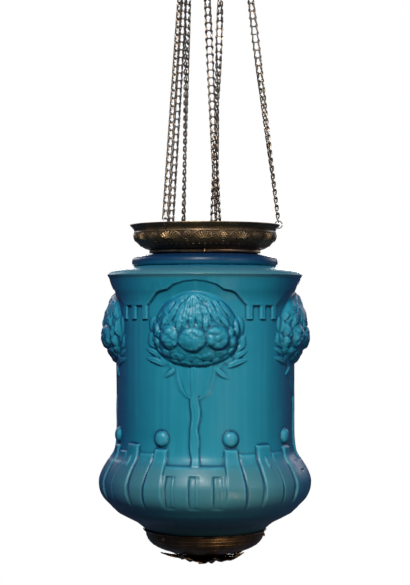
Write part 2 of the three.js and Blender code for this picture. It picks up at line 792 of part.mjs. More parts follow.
function neckRows() {
  return [
    plain(NECK_RADIUS, NECK_TOP),
    plain(NECK_RADIUS, beadBottom),
    plain(grooveRadius, beadBottom - 1),
    plain(grooveRadius, glassCollarTop),
    plain(lerp(grooveRadius, ROLL_RADIUS, 0.8), glassCollarTop - 3.2),
    plain(ROLL_RADIUS, glassCollarTop - 9),
    plain(ROLL_RADIUS, glassCollarTop - 13),
    plain(ROLL_RADIUS - 3.5, glassCollarTop - 15.5),
    plain(SHOULDER_RADIUS - 11, SHOULDER_HEIGHT + 6.4),
    plain(SHOULDER_RADIUS, SHOULDER_HEIGHT),
  ];
}

// Rows of the embossed body. Each gives radius and height at an angle from the nearest
// tree, so that rows follow the skirt's arch and the railing's top.
function embossedRows() {
  const skirt = () => SKIRT_RELIEF;
  const none = () => 0;
  const crownRows = [
    onCrown(0.15, 0, false),
    onCrown(0.32, LEAF_RELIEF, false),
    onCrown(0.48, LEAF_RELIEF, false),
    onCrown(0.51, 0, false),
    onCrown(0.66, 0, true),
    onCrown(0.81, 0, false),
    onCrown(1, 0, false),
  ];
  const railingRows = [0, 0.3, 0.62, 0.96].map((share) => (
    onBody((t) => lerp(railingTop(t), RAILING_BOTTOM, share), railingHeight)
  ));
  return [
    onBody(() => SHOULDER_HEIGHT - 3.8, skirt),
    onBody((t) => lerp(SHOULDER_HEIGHT - 3.8, skirtEdge(t), 0.6), skirt),
    onBody(skirtEdge, skirt),
    onBody(underSkirt, none),
    ...crownRows,
    onBody(() => Math.max(WALL_BOTTOM, TALL_POST_TOP) + 2 * STEP_DROP, none),
    onBody((t) => railingTop(t) + STEP_DROP, none),
    ...railingRows,
    onBody(() => RAILING_BOTTOM - 3, none),
  ];
}

function footRows() {
  return [
    onBody(() => bulgeEnd, () => 0),
    plain(lerp(FOOT_RADIUS, BULGE_RADIUS, 0.35), lerp(bulgeEnd, FOOT_HEIGHT, 0.4)),
    plain(FOOT_RADIUS + 6, FOOT_HEIGHT + 8.5),
    plain(FOOT_RADIUS, FOOT_HEIGHT),
    plain(FOOT_RADIUS - FOOT_TAPER, FOOT_END),
  ];
}

function innerRows() {
  const wall = GLASS_WALL;
  const hollow = (t, height) => crownHeight(t, height, HOLLOW_INSET) - wall;
  const crownRows = [0.05, 0.35, 0.65, 0.95].map((share) => (
    onBody(() => lerp(CROWN_CENTRE + CROWN_HALF_HEIGHT, crownBottom, share), hollow)
  ));
  return [
    plain(grooveRadius - wall, NECK_TOP),
    plain(grooveRadius - wall, glassCollarTop - 5),
    plain(ROLL_RADIUS - wall, glassCollarTop - 16),
    plain(SHOULDER_RADIUS - 2.5 * wall, SHOULDER_HEIGHT - 6),
    ...crownRows,
    onBody(() => POST_TOP, () => -wall),
    onBody(() => BULGE_HEIGHT + 8, () => -wall),
    onBody(() => bulgeEnd, () => -wall),
    plain(FOOT_RADIUS - 0.6, FOOT_HEIGHT + 7),
    plain(FOOT_RADIUS - FOOT_TAPER - wall * 0.8, FOOT_END),
  ];
}

function glassColumns() {
  const half = GLASS_COLUMNS.map((column, number) => ({ ...column, number }));
  const mirrored = half.slice(1, -1).reverse().map((column) => ({
    ...column,
    plain: -column.plain,
    crown: -column.crown,
  }));
  return treeAngles.flatMap((tree) => [...mirrored, ...half].map((column) => ({ ...column, tree })));
}

function glassBody() {
  const vertices = [];
  const faces = [];
  const columns = glassColumns();
  const sparse = columns.filter((unused, k) => k % 2 === 0);

  function ringOf(row, places) {
    return places.map((column) => {
      const [radius, height, fromTree = column.plain] = row(column);
      vertices.push(polar(radius, column.tree + fromTree, height));
      return vertices.length - 1;
    });
  }

  function band(upper, lower) {
    upper.forEach((corner, k) => {
      const next = (k + 1) % upper.length;
      faces.push(corner, lower[k], lower[next], corner, lower[next], upper[next]);
    });
  }

  // Joins a full ring to a ring above or under it that has every second column.
  function seam(fine, coarse, coarseAbove) {
    coarse.forEach((corner, k) => {
      const next = coarse[(k + 1) % coarse.length];
      const [a, b, c] = [fine[2 * k], fine[2 * k + 1], fine[(2 * k + 2) % fine.length]];
      const triangles = [[corner, a, b], [corner, b, next], [next, b, c]];
      triangles.forEach(([p, q, r]) => faces.push(...(coarseAbove ? [p, q, r] : [p, r, q])));
    });
  }

  const neck = neckRows().map((row) => ringOf(row, sparse));
  const embossed = embossedRows().map((row) => ringOf(row, columns));
  const foot = footRows().map((row) => ringOf(row, sparse));
  const inside = innerRows().map((row) => ringOf(row, sparse)).reverse();
  for (const rings of [neck, embossed, foot, inside]) {
    rings.slice(1).forEach((ring, k) => band(rings[k], ring));
  }
  seam(embossed[0], neck[neck.length - 1], true);
  seam(embossed[embossed.length - 1], foot[0], false);
  band(foot[foot.length - 1], inside[0]);
  band(inside[inside.length - 1], neck[0]);
  return fromFaces(vertices, faces);
}

function dentil(angle) {
  const height = SKIRT_EDGE - DENTIL_LENGTH / 2 + 1;
  const tooth = box(GLASS_WALL, DENTIL_WIDTH, DENTIL_LENGTH);
  tooth.translate(WALL_RADIUS + SKIRT_RELIEF - GLASS_WALL / 2, 0, height);
  tooth.rotateZ(degrees(angle));
  return tooth;
}

function ball(angle) {
  const sphere = new THREE.SphereGeometry(BALL_RADIUS, SMALL_ROUND, 4);
  sphere.scale(0.55, 1, 1);
  sphere.rotateX(Math.PI / 2);
  const place = polar(WALL_RADIUS, 0, BALL_HEIGHT);
  sphere.translate(place.x, place.y, place.z);
  const solid = closed(sphere);
  const inside = box(2 * BALL_RADIUS, 3 * BALL_RADIUS, 3 * BALL_RADIUS);
  inside.translate(WALL_RADIUS - GLASS_WALL / 2 - BALL_RADIUS, 0, BALL_HEIGHT);
  const cap = cut(solid, inside);
  cap.rotateZ(degrees(angle));
  return cap;
}

// Stem of a tree, from the spread of its branches under the crown down into the railing.
function trunk(angle) {
  const vertices = [];
  const faces = [];
  const stations = [
    { height: crownBottom - STEP_DROP, halfWidth: FORK_HALF_WIDTH },
    { height: crownBottom - FORK_LENGTH, halfWidth: TRUNK_HALF_WIDTH },
    { height: WALL_BOTTOM, halfWidth: TRUNK_HALF_WIDTH },
    { height: lerp(WALL_BOTTOM, PANEL_TOP, 0.6), halfWidth: TRUNK_HALF_WIDTH },
    { height: PANEL_TOP - STEP_DROP, halfWidth: TRUNK_HALF_WIDTH },
  ];
  stations.forEach(({ height, halfWidth }) => {
    const halfAngle = THREE.MathUtils.radToDeg(halfWidth / WALL_RADIUS);
    for (const [side, lift] of [[-1, -1], [-1, TRUNK_RELIEF], [1, TRUNK_RELIEF], [1, -1]]) {
      vertices.push(polar(bodyRadius(height) + lift, angle + side * halfAngle, height));
    }
  });
  stations.slice(1).forEach((unused, k) => {
    for (let side = 0; side < 4; side += 1) {
      const [a, b] = [4 * k + side, 4 * k + ((side + 1) % 4)];
      faces.push(a, b, b + 4, a, b + 4, a + 4);
    }
  });
  const last = vertices.length - 4;
  faces.push(0, 2, 1, 0, 3, 2, last, last + 1, last + 2, last, last + 2, last + 3);
  return fromFaces(vertices, faces);
}

function glassShade() {
  const dentils = treeAngles.flatMap((tree) => DENTIL_ANGLES.map((angle) => dentil(tree + angle)));
  const balls = treeAngles.flatMap((tree) => [-BALL_ANGLE, BALL_ANGLE].map((angle) => ball(tree + angle)));
  return joined(glassBody(), ...dentils, ...balls, ...treeAngles.map(trunk));
}

// Brass cup and rosette

const cupScrewHeight = CUP_LIP_HEIGHT - 5.8;
const cupScrewRadius = CUP_LIP_RADIUS - 3.8;
const footShare = (FOOT_HEIGHT - cupScrewHeight - SCREW_RADIUS) / (FOOT_HEIGHT - FOOT_END);
const cupScrewTip = FOOT_RADIUS - FOOT_TAPER * footShare + SEAT_GAP;

function bottomCup() {
  const outer = [
    [CUP_LIP_RADIUS, CUP_LIP_HEIGHT],
    [CUP_LIP_RADIUS - 3, CUP_LIP_HEIGHT - 2.4],
    [CUP_LIP_RADIUS - 4.6, CUP_LIP_HEIGHT - 9],
    [CUP_LIP_RADIUS - 9.8, lerp(CUP_LIP_HEIGHT, CUP_BOTTOM, 0.56)],
    [CUP_LIP_RADIUS * 0.76, lerp(CUP_LIP_HEIGHT, CUP_BOTTOM, 0.76)],
    [CUP_LIP_RADIUS * 0.56, lerp(CUP_LIP_HEIGHT, CUP_BOTTOM, 0.93)],
    [CUP_LIP_RADIUS * 0.25, CUP_BOTTOM],
  ];
  const inner = [...outer].reverse().map(([radius, height], k) => (
    k < 4 ? [radius * 0.985 - 0.1, height + SHEET] : [radius - SHEET, height + 0.2]
  ));
  const bore = FINIAL_BOLT_RADIUS + SEAT_GAP;
  const profile = [...outer, [bore, CUP_BOTTOM], [bore, CUP_BOTTOM + SHEET], ...inner, outer[0]];
  const holes = threefold(CUP_SCREW_ANGLE).map((angle) => screwHole(cupScrewRadius, cupScrewHeight, angle));
  return cut(turned(profile, LARGE_ROUND), ...holes);
}

const rosetteTop = CUP_BOTTOM - SEAT_GAP;
const hubBottom = rosetteTop - ROSETTE_HUB_HEIGHT;

// One leaf as a curved strip: it droops from the hub, then rises along the cup to its tip.
function rosetteLeaf(angle) {
  const vertices = [];
  const faces = [];
  const stations = [
    { share: 0.12, width: 3, drop: 0 },
    { share: 0.4, width: 9, drop: 3 },
    { share: 0.72, width: 14, drop: 1.5 },
    { share: 1, width: 3, drop: -1 },
  ];
  stations.forEach(({ share, width, drop }) => {
    const rise = share > 0.35 ? 0.6 * ROSETTE_RISE * (share - 0.35) : 0;
    const height = rosetteTop - ROSETTE_THICKNESS - drop + rise;
    for (const [side, lift] of [[1, 0], [1, ROSETTE_THICKNESS], [-1, ROSETTE_THICKNESS], [-1, 0]]) {
      vertices.push(new THREE.Vector3(ROSETTE_RADIUS * share, side * width, height + lift - 1));
    }
  });
  for (let k = 0; k < stations.length - 1; k += 1) {
    for (let side = 0; side < 4; side += 1) {
      const [a, b] = [4 * k + side, 4 * k + ((side + 1) % 4)];
      faces.push(a, b, b + 4, a, b + 4, a + 4);
    }
  }
  const last = 4 * (stations.length - 1);
  faces.push(0, 2, 1, 0, 3, 2, last, last + 1, last + 2, last, last + 2, last + 3);
  const leaf = fromFaces(vertices, faces);
  leaf.rotateZ(degrees(angle));
  return leaf;
}

function leafRosette() {
  const bore = FINIAL_BOLT_RADIUS + SEAT_GAP;
  const hub = shell(
    [[ROSETTE_HUB_RADIUS, rosetteTop], [ROSETTE_HUB_RADIUS - 3, hubBottom]],
    [[bore, hubBottom], [bore, rosetteTop]],
    BOLT_ROUND,
  );
  const core = barAlongX(bore, -CUT_REACH, CUT_REACH, BOLT_ROUND);
  core.rotateY(Math.PI / 2);
  core.translate(0, 0, rosetteTop);
  const pitch = 360 / ROSETTE_LEAVES;
  const leaves = Array.from({ length: ROSETTE_LEAVES }, (unused, k) => rosetteLeaf(k * pitch + ROSETTE_TURN));
  return cut(joined(hub, ...leaves), core);
}

function finialBolt() {
  const head = hubBottom - SEAT_GAP;
  const top = CUP_BOTTOM + SHEET + FINIAL_BOLT_RISE;
  return turned([
    [0, top],
    [FINIAL_BOLT_RADIUS, top],
    [FINIAL_BOLT_RADIUS, head],
    [FINIAL_HEAD_RADIUS, head],
    [FINIAL_HEAD_RADIUS * 0.77, head - FINIAL_HEAD_LENGTH / 2],
    [0, head - FINIAL_HEAD_LENGTH],
  ], BOLT_ROUND);
}

function finialNut() {
  const bottom = CUP_BOTTOM + SHEET + SEAT_GAP;
  const bore = FINIAL_BOLT_RADIUS + SEAT_GAP;
  const top = bottom + NUT_HEIGHT;
  const radius = 2 * FINIAL_BOLT_RADIUS;
  const hexagon = turned([[0, bottom], [radius, bottom], [radius, top], [0, top]], 6);
  const core = barAlongX(bore, -CUT_REACH, CUT_REACH, BOLT_ROUND);
  core.rotateY(Math.PI / 2);
  core.translate(0, 0, bottom);
  return cut(hexagon, core);
}

// Oil lamp, in heights under the rim's tip

const fontRingHeight = FONT_TOP - FONT_RING_DROP;
const fontRingBottom = fontRingHeight - FONT_RING_THICKNESS;
const fontRingRadius = FONT_RADIUS + SEAT_GAP + FONT_RING_WIDTH / 2;
const fontRingOutside = fontRingRadius + FONT_RING_WIDTH / 2;

function lampCarrier() {
  const half = CARRIER_WIDTH / 2;
  const underside = CARRIER_HEIGHT - CARRIER_THICKNESS;
  const upper = shell(
    [[LAMP_HOOK_RADIUS + half, CARRIER_HEIGHT], [LAMP_HOOK_RADIUS + half, underside]],
    [[LAMP_HOOK_RADIUS - half, underside], [LAMP_HOOK_RADIUS - half, CARRIER_HEIGHT]],
    MIDDLE_ROUND,
  );
  const bore = FONT_RADIUS - 2;
  const lower = shell(
    [[fontRingOutside, fontRingHeight], [fontRingOutside, fontRingBottom]],
    [[bore, fontRingBottom], [bore, fontRingHeight]],
    MIDDLE_ROUND,
  );
  const parts = threefold(LAMP_HOOK_TURN).flatMap((angle) => {
    const lug = box(LUG_THICKNESS, LUG_WIDTH, LUG_HEIGHT);
    lug.translate(LAMP_HOOK_RADIUS, 0, CARRIER_HEIGHT - CARRIER_THICKNESS / 2 + LUG_HEIGHT / 2);
    const reach = LUG_HEIGHT;
    const hole = barAlongX(LUG_HOLE_RADIUS, LAMP_HOOK_RADIUS - reach, LAMP_HOOK_RADIUS + reach, SMALL_ROUND);
    hole.translate(0, 0, lugHoleHeight + RIM_DROP);
    const pierced = cut(lug, hole);
    pierced.rotateZ(degrees(angle));
    const top = polar(LAMP_HOOK_RADIUS, angle + 60, CARRIER_HEIGHT - CARRIER_THICKNESS / 2);
    const bottom = polar(fontRingRadius + 0.5, angle + 60, fontRingHeight - FONT_RING_THICKNESS / 2);
    return [pierced, barBetween(top, bottom, ROD_RADIUS, 6)];
  });
  return joined(upper, lower, ...parts);
}

function oilFont() {
  const body = turned([
    [0, FONT_TOP],
    [13, FONT_TOP],
    [14, FONT_TOP - 3],
    [FONT_RADIUS - 6, fontRingHeight + 2],
    [FONT_RADIUS, fontRingHeight + SEAT_GAP],
    [FONT_RADIUS - 2.6, fontRingHeight + SEAT_GAP],
    [FONT_RADIUS - 3.4, fontRingHeight - 12],
    [FONT_RADIUS * 0.7, FONT_TOP - FONT_DEPTH * 0.85],
    [FONT_RADIUS * 0.35, FONT_TOP - FONT_DEPTH],
    [0, FONT_TOP - FONT_DEPTH],
  ], MIDDLE_ROUND);
  const well = box(WICK_WIDTH + 2 * WELL_ROOM, WICK_THICKNESS + 2 * WELL_ROOM, WICK_LENGTH);
  well.translate(0, 0, FONT_TOP);
  return cut(body, well);
}

const burnerBottom = FONT_TOP + SEAT_GAP;
const burnerTop = burnerBottom + BURNER_HEIGHT;
const knobHeight = burnerBottom + 8;
const sprocketOffset = WICK_THICKNESS / 2 + RUNNING_GAP + SPROCKET_RADIUS;

// Burner: a round base with a flat slot for the wick and a side hole for the wick shaft.
function burner() {
  const body = turned([
    [0, burnerBottom],
    [12, burnerBottom],
    [13, burnerBottom + 4],
    [BURNER_RADIUS, burnerTop - 10],
    [BURNER_RADIUS, burnerTop - 7],
    [BURNER_RADIUS - 6, burnerTop - 6],
    [BURNER_RADIUS - 10, burnerTop],
    [0, burnerTop],
  ], MIDDLE_ROUND);
  const slot = box(WICK_WIDTH + 2 * RUNNING_GAP, WICK_THICKNESS + 2 * RUNNING_GAP, 3 * BURNER_HEIGHT);
  slot.translate(0, 0, burnerBottom);
  const roomAcross = 2 * (SPROCKET_RADIUS + WELL_ROOM);
  const wheelRoom = box(2 * (SPROCKET_HALF_WIDTH + WELL_ROOM), roomAcross, roomAcross);
  wheelRoom.translate(0, sprocketOffset, knobHeight);
  const shaftHole = barAlongX(SHAFT_RADIUS + RUNNING_GAP, 0, BURNER_RADIUS * 2, SMALL_ROUND);
  shaftHole.translate(0, sprocketOffset, knobHeight);
  return cut(body, slot, wheelRoom, shaftHole);
}

function wick() {
  const strip = box(WICK_WIDTH, WICK_THICKNESS, WICK_LENGTH);
  strip.translate(0, 0, burnerTop + 2 - WICK_LENGTH / 2);
  return strip;
}

function wickKnob() {
  const sprocket = barAlongX(SPROCKET_RADIUS, -SPROCKET_HALF_WIDTH, SPROCKET_HALF_WIDTH, BOLT_ROUND);
  const shaft = barAlongX(SHAFT_RADIUS, 0, KNOB_REACH, SMALL_ROUND);
  const knob = barAlongX(KNOB_RADIUS, KNOB_REACH - KNOB_THICKNESS, KNOB_REACH, BOLT_ROUND);
  const whole = joined(sprocket, shaft, knob);
  whole.translate(0, sprocketOffset, knobHeight);
  return whole;
}

function chimney() {
  const foot = burnerTop - 7 + SEAT_GAP + 0.6;
  const outer = [
    [CHIMNEY_RADIUS, foot],
    [CHIMNEY_RADIUS, foot + 10],
    [CHIMNEY_BELLY, foot + 30],
    [CHIMNEY_RADIUS, foot + 55],
    [CHIMNEY_RADIUS - 1.5, foot + CHIMNEY_LENGTH],
  ];
  const inner = [...outer].reverse().map(([radius, height]) => [radius - CHIMNEY_WALL, height]);
  return shell(outer, inner, MIDDLE_ROUND);
}

// Assembly

const chainAngles = threefold(FIRST_CHAIN_ANGLE);
const lantern = new THREE.Group();
lantern.name = 'lantern_set';
lantern.position.z = DOWN_TO_RIM;
const whole = new THREE.Group();
whole.name = 'hall_lantern';
whole.add(piece('ceiling_plate', ceilingPlate(), patinatedBrass));

chainAngles.forEach((angle, k) => {
  const turns = HALF_TURNS[k];
  const group = new THREE.Group();
  group.rotation.z = degrees(angle);
  const number = k + 1;
  const axle = new THREE.Group();
  axle.position.copy(pulleyCentre);
  axle.rotation.z = degrees(-PULLEY_SKEW);
  axle.add(piece(`pulley_fork_${number}`, pulleyFork(), patinatedBrass));
  axle.add(piece(`pulley_wheel_${number}`, pulleyWheel(), wornBrass));
  axle.add(piece(`pulley_pin_${number}`, pulleyPin(), wornBrass));
  group.add(axle);
  group.add(piece(`outer_chain_${number}`, outsideStrand(turns.outside), chainBronze));
  group.add(piece(`chain_over_pulley_${number}`, overPulley(), chainBronze));
  group.add(piece(`inner_chain_${number}`, insideStrand(turns.inside), chainBronze));
  const rimRing = piece(`rim_ring_${number}`, linkingRing(), chainBronze);
  rimRing.position.copy(rimRingCentre);
  const lampRing = piece(`lamp_ring_${number}`, linkingRing(), chainBronze);
  lampRing.position.copy(lampRingCentre);
  lampRing.rotation.z = degrees(LAMP_HOOK_TURN);
  group.add(rimRing, lampRing);
  whole.add(group);
});

lantern.add(piece('gallery_bowl', galleryBowl(), patinatedBrass));
lantern.add(piece('gallery_collar', galleryCollar(), wornBrass));
lantern.add(piece('glass_shade', glassShade(), blueGlass));
lantern.add(piece('bottom_cup', bottomCup(), patinatedBrass));
lantern.add(piece('leaf_rosette', leafRosette(), patinatedBrass));
lantern.add(piece('finial_bolt', finialBolt(), wornBrass));
lantern.add(piece('finial_nut', finialNut(), wornBrass));
threefold(GALLERY_SCREW_ANGLE).forEach((angle, k) => {
  const body = holdingScrew(collarRadius + 0.4, grooveRadius + SEAT_GAP);
  const screw = piece(`gallery_screw_${k + 1}`, body, wornBrass);
  screw.position.z = galleryScrewHeight;
  screw.rotation.z = degrees(angle);
  lantern.add(screw);
});
threefold(CUP_SCREW_ANGLE).forEach((angle, k) => {
  const screw = piece(`cup_screw_${k + 1}`, holdingScrew(cupScrewRadius + 0.5, cupScrewTip), wornBrass);
  screw.position.z = cupScrewHeight;
  screw.rotation.z = degrees(angle);
  lantern.add(screw);
});
const lamp = new THREE.Group();
lamp.rotation.z = degrees(FIRST_CHAIN_ANGLE);
lamp.add(piece('lamp_carrier', lampCarrier(), patinatedBrass));
lamp.add(piece('oil_font', oilFont(), wornBrass));
lamp.add(piece('burner', burner(), wornBrass));
lamp.add(piece('wick', wick(), cotton));
lamp.add(piece('wick_knob', wickKnob(), wornBrass));
lamp.add(piece('lamp_chimney', chimney(), clearGlass));
lantern.add(lamp);
whole.add(lantern);

export default whole;
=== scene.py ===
"""Looks of the hanging hall lantern: embossed blue glass, patinated brass and ladder chain.

Shapes are worked out in millimetres and turned into metres where a mesh is made. Heights of
the lantern's own pieces are counted from the gallery's rim, and everything else from the
ceiling plate's top face, which is the origin.
"""

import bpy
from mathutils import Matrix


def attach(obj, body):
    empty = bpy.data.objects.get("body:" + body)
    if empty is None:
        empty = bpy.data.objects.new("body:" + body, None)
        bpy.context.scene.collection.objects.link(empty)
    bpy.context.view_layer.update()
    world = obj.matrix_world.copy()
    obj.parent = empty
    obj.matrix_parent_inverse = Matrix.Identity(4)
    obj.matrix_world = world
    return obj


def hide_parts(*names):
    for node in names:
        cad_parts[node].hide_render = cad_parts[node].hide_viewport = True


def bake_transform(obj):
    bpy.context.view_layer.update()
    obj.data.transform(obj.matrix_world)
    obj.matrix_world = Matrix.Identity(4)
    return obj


bl_info = {
    "name": "Hall Lantern Looks",
    "version": (1, 0, 0),
    "blender": (4, 5, 0),
    "location": "3D View > Sidebar > Lantern",
    "description": "Builds the visible pieces of a hanging hall lantern round its packed frame",
    "category": "Object",
}

import math

import bmesh
import bpy
import numpy as np
from bpy.props import FloatProperty, FloatVectorProperty, IntProperty, PointerProperty
from mathutils import Matrix, Vector

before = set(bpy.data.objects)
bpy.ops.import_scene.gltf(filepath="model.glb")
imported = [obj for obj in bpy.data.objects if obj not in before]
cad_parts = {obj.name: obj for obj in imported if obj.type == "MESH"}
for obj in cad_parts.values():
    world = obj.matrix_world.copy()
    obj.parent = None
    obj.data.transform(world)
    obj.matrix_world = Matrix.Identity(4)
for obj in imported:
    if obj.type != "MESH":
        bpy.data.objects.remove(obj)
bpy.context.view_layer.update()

MM = 0.001

# Bodies that the pieces ride on
CEILING = "ceiling_fitting"
LANTERN = "lantern"
LAMP = "oil_lamp"

# Places that the frame fixes
RIM_DROP = 355.0
CHAIN_ANGLES = (-1.0, 119.0, 239.0)
CHAIN_TOP_RADIUS = 53.5
AXLE_DROP = 30.0
PULLEY_RADIUS = 17.8
PULLEY_SKEW = 22.0
LAMP_HOOK_RADIUS = 27.8
LAMP_HOOK_TURN = 69.0
CARRIER_HEIGHT = -24.0

# Chains and rings
CHAIN_PITCH = 10.0
CHAIN_WAIST = 2.9
CHAIN_FLARE = 4.4
HALF_TURNS = ((-1, 1), (0, 0), (0, 0))
RING_RADIUS = 4.6
RING_WIRE = 1.3
RIM_RING_LEAN = 75.0
SEAT_GAP = 0.3

# Heights in metres between which the chains stretch when the lantern or the lamp moves
OUTER_STRETCH_END = -0.350
INNER_STRETCH_END = -0.365

# Gallery
RIM_RADIUS = 95.4
LIP_HEIGHT = 7.0
BOWL_RADIUS = 89.0
BOWL_DEPTH = 31.5
BOWL_DEGREE = math.radians(1) * BOWL_RADIUS
COLLAR_HEIGHT = 4.0
COLLAR_RADIUS = 70.4
COLLAR_BORE = 67.6
GALLERY_UNITS = 12
GALLERY_SCREW_ANGLE = 150.0
GALLERY_SCREW_HEIGHT = -33.8
GALLERY_SCREW_TIP = 65.3

# Glass
TREES = 4
TREE_TURN = -96.0
NECK_RADIUS = 67.3
NECK_TOP = -26.3
NECK_BORE = 61.6
ROLL_RADIUS = 92.5
ROLL_TOP = -36.1
SHOULDER_RADIUS = 123.6
SHOULDER = -62.9
WALL_RADIUS = 110.5
GLASS_WALL = 3.4
BULGE_RADIUS = 132.2
BULGE = -323.2
FOOT_RADIUS = 75.0
FOOT_END = -393.5
FOOT_TAPER = 5.5

# Relief on the glass
SKIRT_EDGE = -101.8
CROWN_TOP = -84.2
CROWN_PEAK = -138.0
CROWN_BOTTOM = -176.2
CROWN_HALF_WIDTH = 55.0
CROWN_RELIEF = 18.4
PANEL_TOP = -294.5
POST_TOP = -275.5
SLAT_TOP = -281.3
TALL_POST_TOP = -271.2
RAILING_BOTTOM = -344.0
TREE_ROWS_END = -216.0
BALL_ANGLE = 22.2
BALL_HEIGHT = -262.2
BALL_RADIUS = 9.6

# Cup, leaves and finial
CUP_LIP_RADIUS = 78.4
CUP_LIP = -383.8
CUP_BOTTOM = -413.0
CUP_SCREW_ANGLE = -132.4
CUP_SCREW_HEIGHT = -389.6
CUP_SCREW_SEAT = 75.4
CUP_SCREW_TIP = 71.4
LEAF_COUNT = 8
LEAF_TURN = 14.0
LEAF_REACH = 57.0
ROSETTE_TOP = CUP_BOTTOM - 0.3
BOLT_RADIUS = 3.0
BOLT_TOP = -403.8
FINIAL_HEAD = -417.8
FINIAL_END = -423.8

# Where the glass changes colour for painted sheen and painted shade, in metres under the ceiling:
# from none to full
SHEEN_BANDS = ((-0.708, -0.648), (-0.422, -0.409))
NECK_SHADE = (-0.411, -0.403)
ROLL_SHADE = (-0.406, -0.4)
SLOPE_FOOT = (-0.424, -0.417)
SLOPE_HEAD = (-0.401, -0.406)
BOWL_SHADE = (-0.698, -0.722)
FOOT_SHADE = (-0.688, -0.73)


def polar(radius, angle, height):
    """A point in millimetres from radius, angle in degrees and height."""
    a = math.radians(angle)
    return np.array([radius * math.cos(a), radius * math.sin(a), height])


def smooth(x, start, end):
    """0 before start, 1 past end and a soft step between."""
    t = np.clip((x - start) / (end - start), 0.0, 1.0)
    return t * t * (3.0 - 2.0 * t)


def ridge(x, width):
    """1 at 0, falling off softly to both sides over about the width."""
    return np.exp(-((x / width) ** 2))


def cap(*ratios):
    """A round cap: 1 in its middle, 0 where the squares of the ratios add up to 1."""
    return np.clip(1 - sum(ratio ** 2 for ratio in ratios), 0, None) ** 0.5


def waves(x, pitch, power):
    """Narrow lines across x, one at every pitch, and nothing between them."""
    return np.maximum(np.cos(2 * np.pi * x / pitch), 0) ** power


def from_middle(x, pitch):
    """How far x is from the nearest middle in a row with this pitch."""
    return np.abs((x / pitch + 0.5) % 1.0 - 0.5) * pitch


def highest(layers):
    """The highest layer at each place, and 0 where none stands up."""
    return np.maximum(0, np.maximum.reduce(layers))


def curve_through(points, per_span=12):
    """A Catmull-Rom curve through the points, as an array."""
    p = np.array(points, float)
    p = np.vstack([2 * p[0] - p[1], p, 2 * p[-1] - p[-2]])
    t = np.linspace(0, 1, per_span, endpoint=False)[:, None]
    spans = []
    for a, b, c, d in zip(p, p[1:], p[2:], p[3:]):
        linear = (c - a) * t
        square = (2 * a - 5 * b + 4 * c - d) * t ** 2
        cube = (3 * b - a - 3 * c + d) * t ** 3
        spans.append(0.5 * (2 * b + linear + square + cube))
    return np.vstack(spans + [p[-2:-1]])


def lengths_along(line):
    """Distance from the start of a line to each of its points."""
    return np.concatenate([[0], np.cumsum(np.linalg.norm(np.diff(line, axis=0), axis=1))])


# Mesh making


def make_object(name, vertices, faces, material, raised=None, sharp=35.0):
    """A smooth-shaded object from points in millimetres. raised is kept as a point attribute."""
    mesh = bpy.data.meshes.new(name)
    mesh.from_pydata((np.asarray(vertices, float) * MM).tolist(), [], faces)
    mesh.update()
    mesh.shade_smooth()
    mesh.set_sharp_from_angle(angle=math.radians(sharp))
    if raised is not None:
        layer = mesh.attributes.new("raised", "FLOAT", "POINT")
        layer.data.foreach_set("value", np.asarray(raised, np.float32).ravel())
    made = bpy.data.objects.new(name, mesh)
    bpy.context.scene.collection.objects.link(made)
    mesh.materials.append(material)
    return made


def band_faces(rows, columns, wrap_rows=False, wrap_columns=True):
    """Quads between neighbouring rows of a grid whose columns go round."""
    r = np.arange(rows if wrap_rows else rows - 1)[:, None]
    c = np.arange(columns if wrap_columns else columns - 1)[None, :]
    below = (r + 1) % rows * columns
    beside = (c + 1) % columns
    r = r * columns
    quads = np.stack([r + c, below + c, below + beside, r + beside], axis=-1)
    return quads.reshape(-1, 4).tolist()


def rounded(profile, radius=0.5, steps=3):
    """The same profile with its corners cut by small curves."""
    p = np.array(profile, float)
    out = [p[0]]
    for before, corner, after in zip(p, p[1:], p[2:]):
        to_before, to_after = before - corner, after - corner
        lengths = np.linalg.norm(to_before), np.linalg.norm(to_after)
        reach = min(radius, 0.45 * min(lengths))
        start = corner + to_before / lengths[0] * reach
        end = corner + to_after / lengths[1] * reach
        for t in np.linspace(0, 1, steps + 1):
            out.append((1 - t) ** 2 * start + 2 * t * (1 - t) * corner + t * t * end)
    out.append(p[-1])
    return np.array(out)


def rings(rows, turn):
    """Points of rows of (radius, height) that go round at the angles of turn, in radians."""
    return np.concatenate([
        np.column_stack([radius * np.cos(turn), radius * np.sin(turn), height + 0 * turn])
        for radius, height in rows
    ])


def turned(profile, segments, closed=False):
    """Points and faces of a profile of (radius, height) turned about Z.

    An open profile that starts and ends on the axis gives a solid; a closed one gives a ring.
    """
    turn = np.linspace(0, 2 * np.pi, segments, endpoint=False)
    return rings(profile, turn), band_faces(len(profile), segments, wrap_rows=closed)


def turned_piece(name, profile, material, segments, corner, closed=False):
    """A turned piece of the lantern with eased corners, welded where it touches the axis."""
    if closed:
        eased = rounded([profile[-1], *profile, profile[0]], corner)[1:-1]
    else:
        eased = rounded(profile, corner)
    vertices, faces = turned(eased, segments, closed)
    made = make_object(name, vertices - (0, 0, RIM_DROP), faces, material)
    weld(made)
    return made


def ring_piece(name, rows, marks, turn, material, sharp):
    """A shell of the lantern from rows that go round, each with its marks for raised."""
    raised = np.concatenate([np.broadcast_to(mark, turn.shape) for mark in marks])
    vertices = rings(rows, turn) - (0, 0, RIM_DROP)
    faces = band_faces(len(rows), len(turn), wrap_rows=True)
    return make_object(name, vertices, faces, material, raised, sharp)


def weld(made, distance=1e-6):
    """Merges points that lie on each other and drops faces with no area."""
    work = bmesh.new()
    work.from_mesh(made.data)
    bmesh.ops.remove_doubles(work, verts=work.verts, dist=distance)
    bmesh.ops.dissolve_degenerate(work, dist=distance, edges=work.edges)
    bmesh.ops.recalc_face_normals(work, faces=work.faces)
    work.to_mesh(made.data)
    work.free()


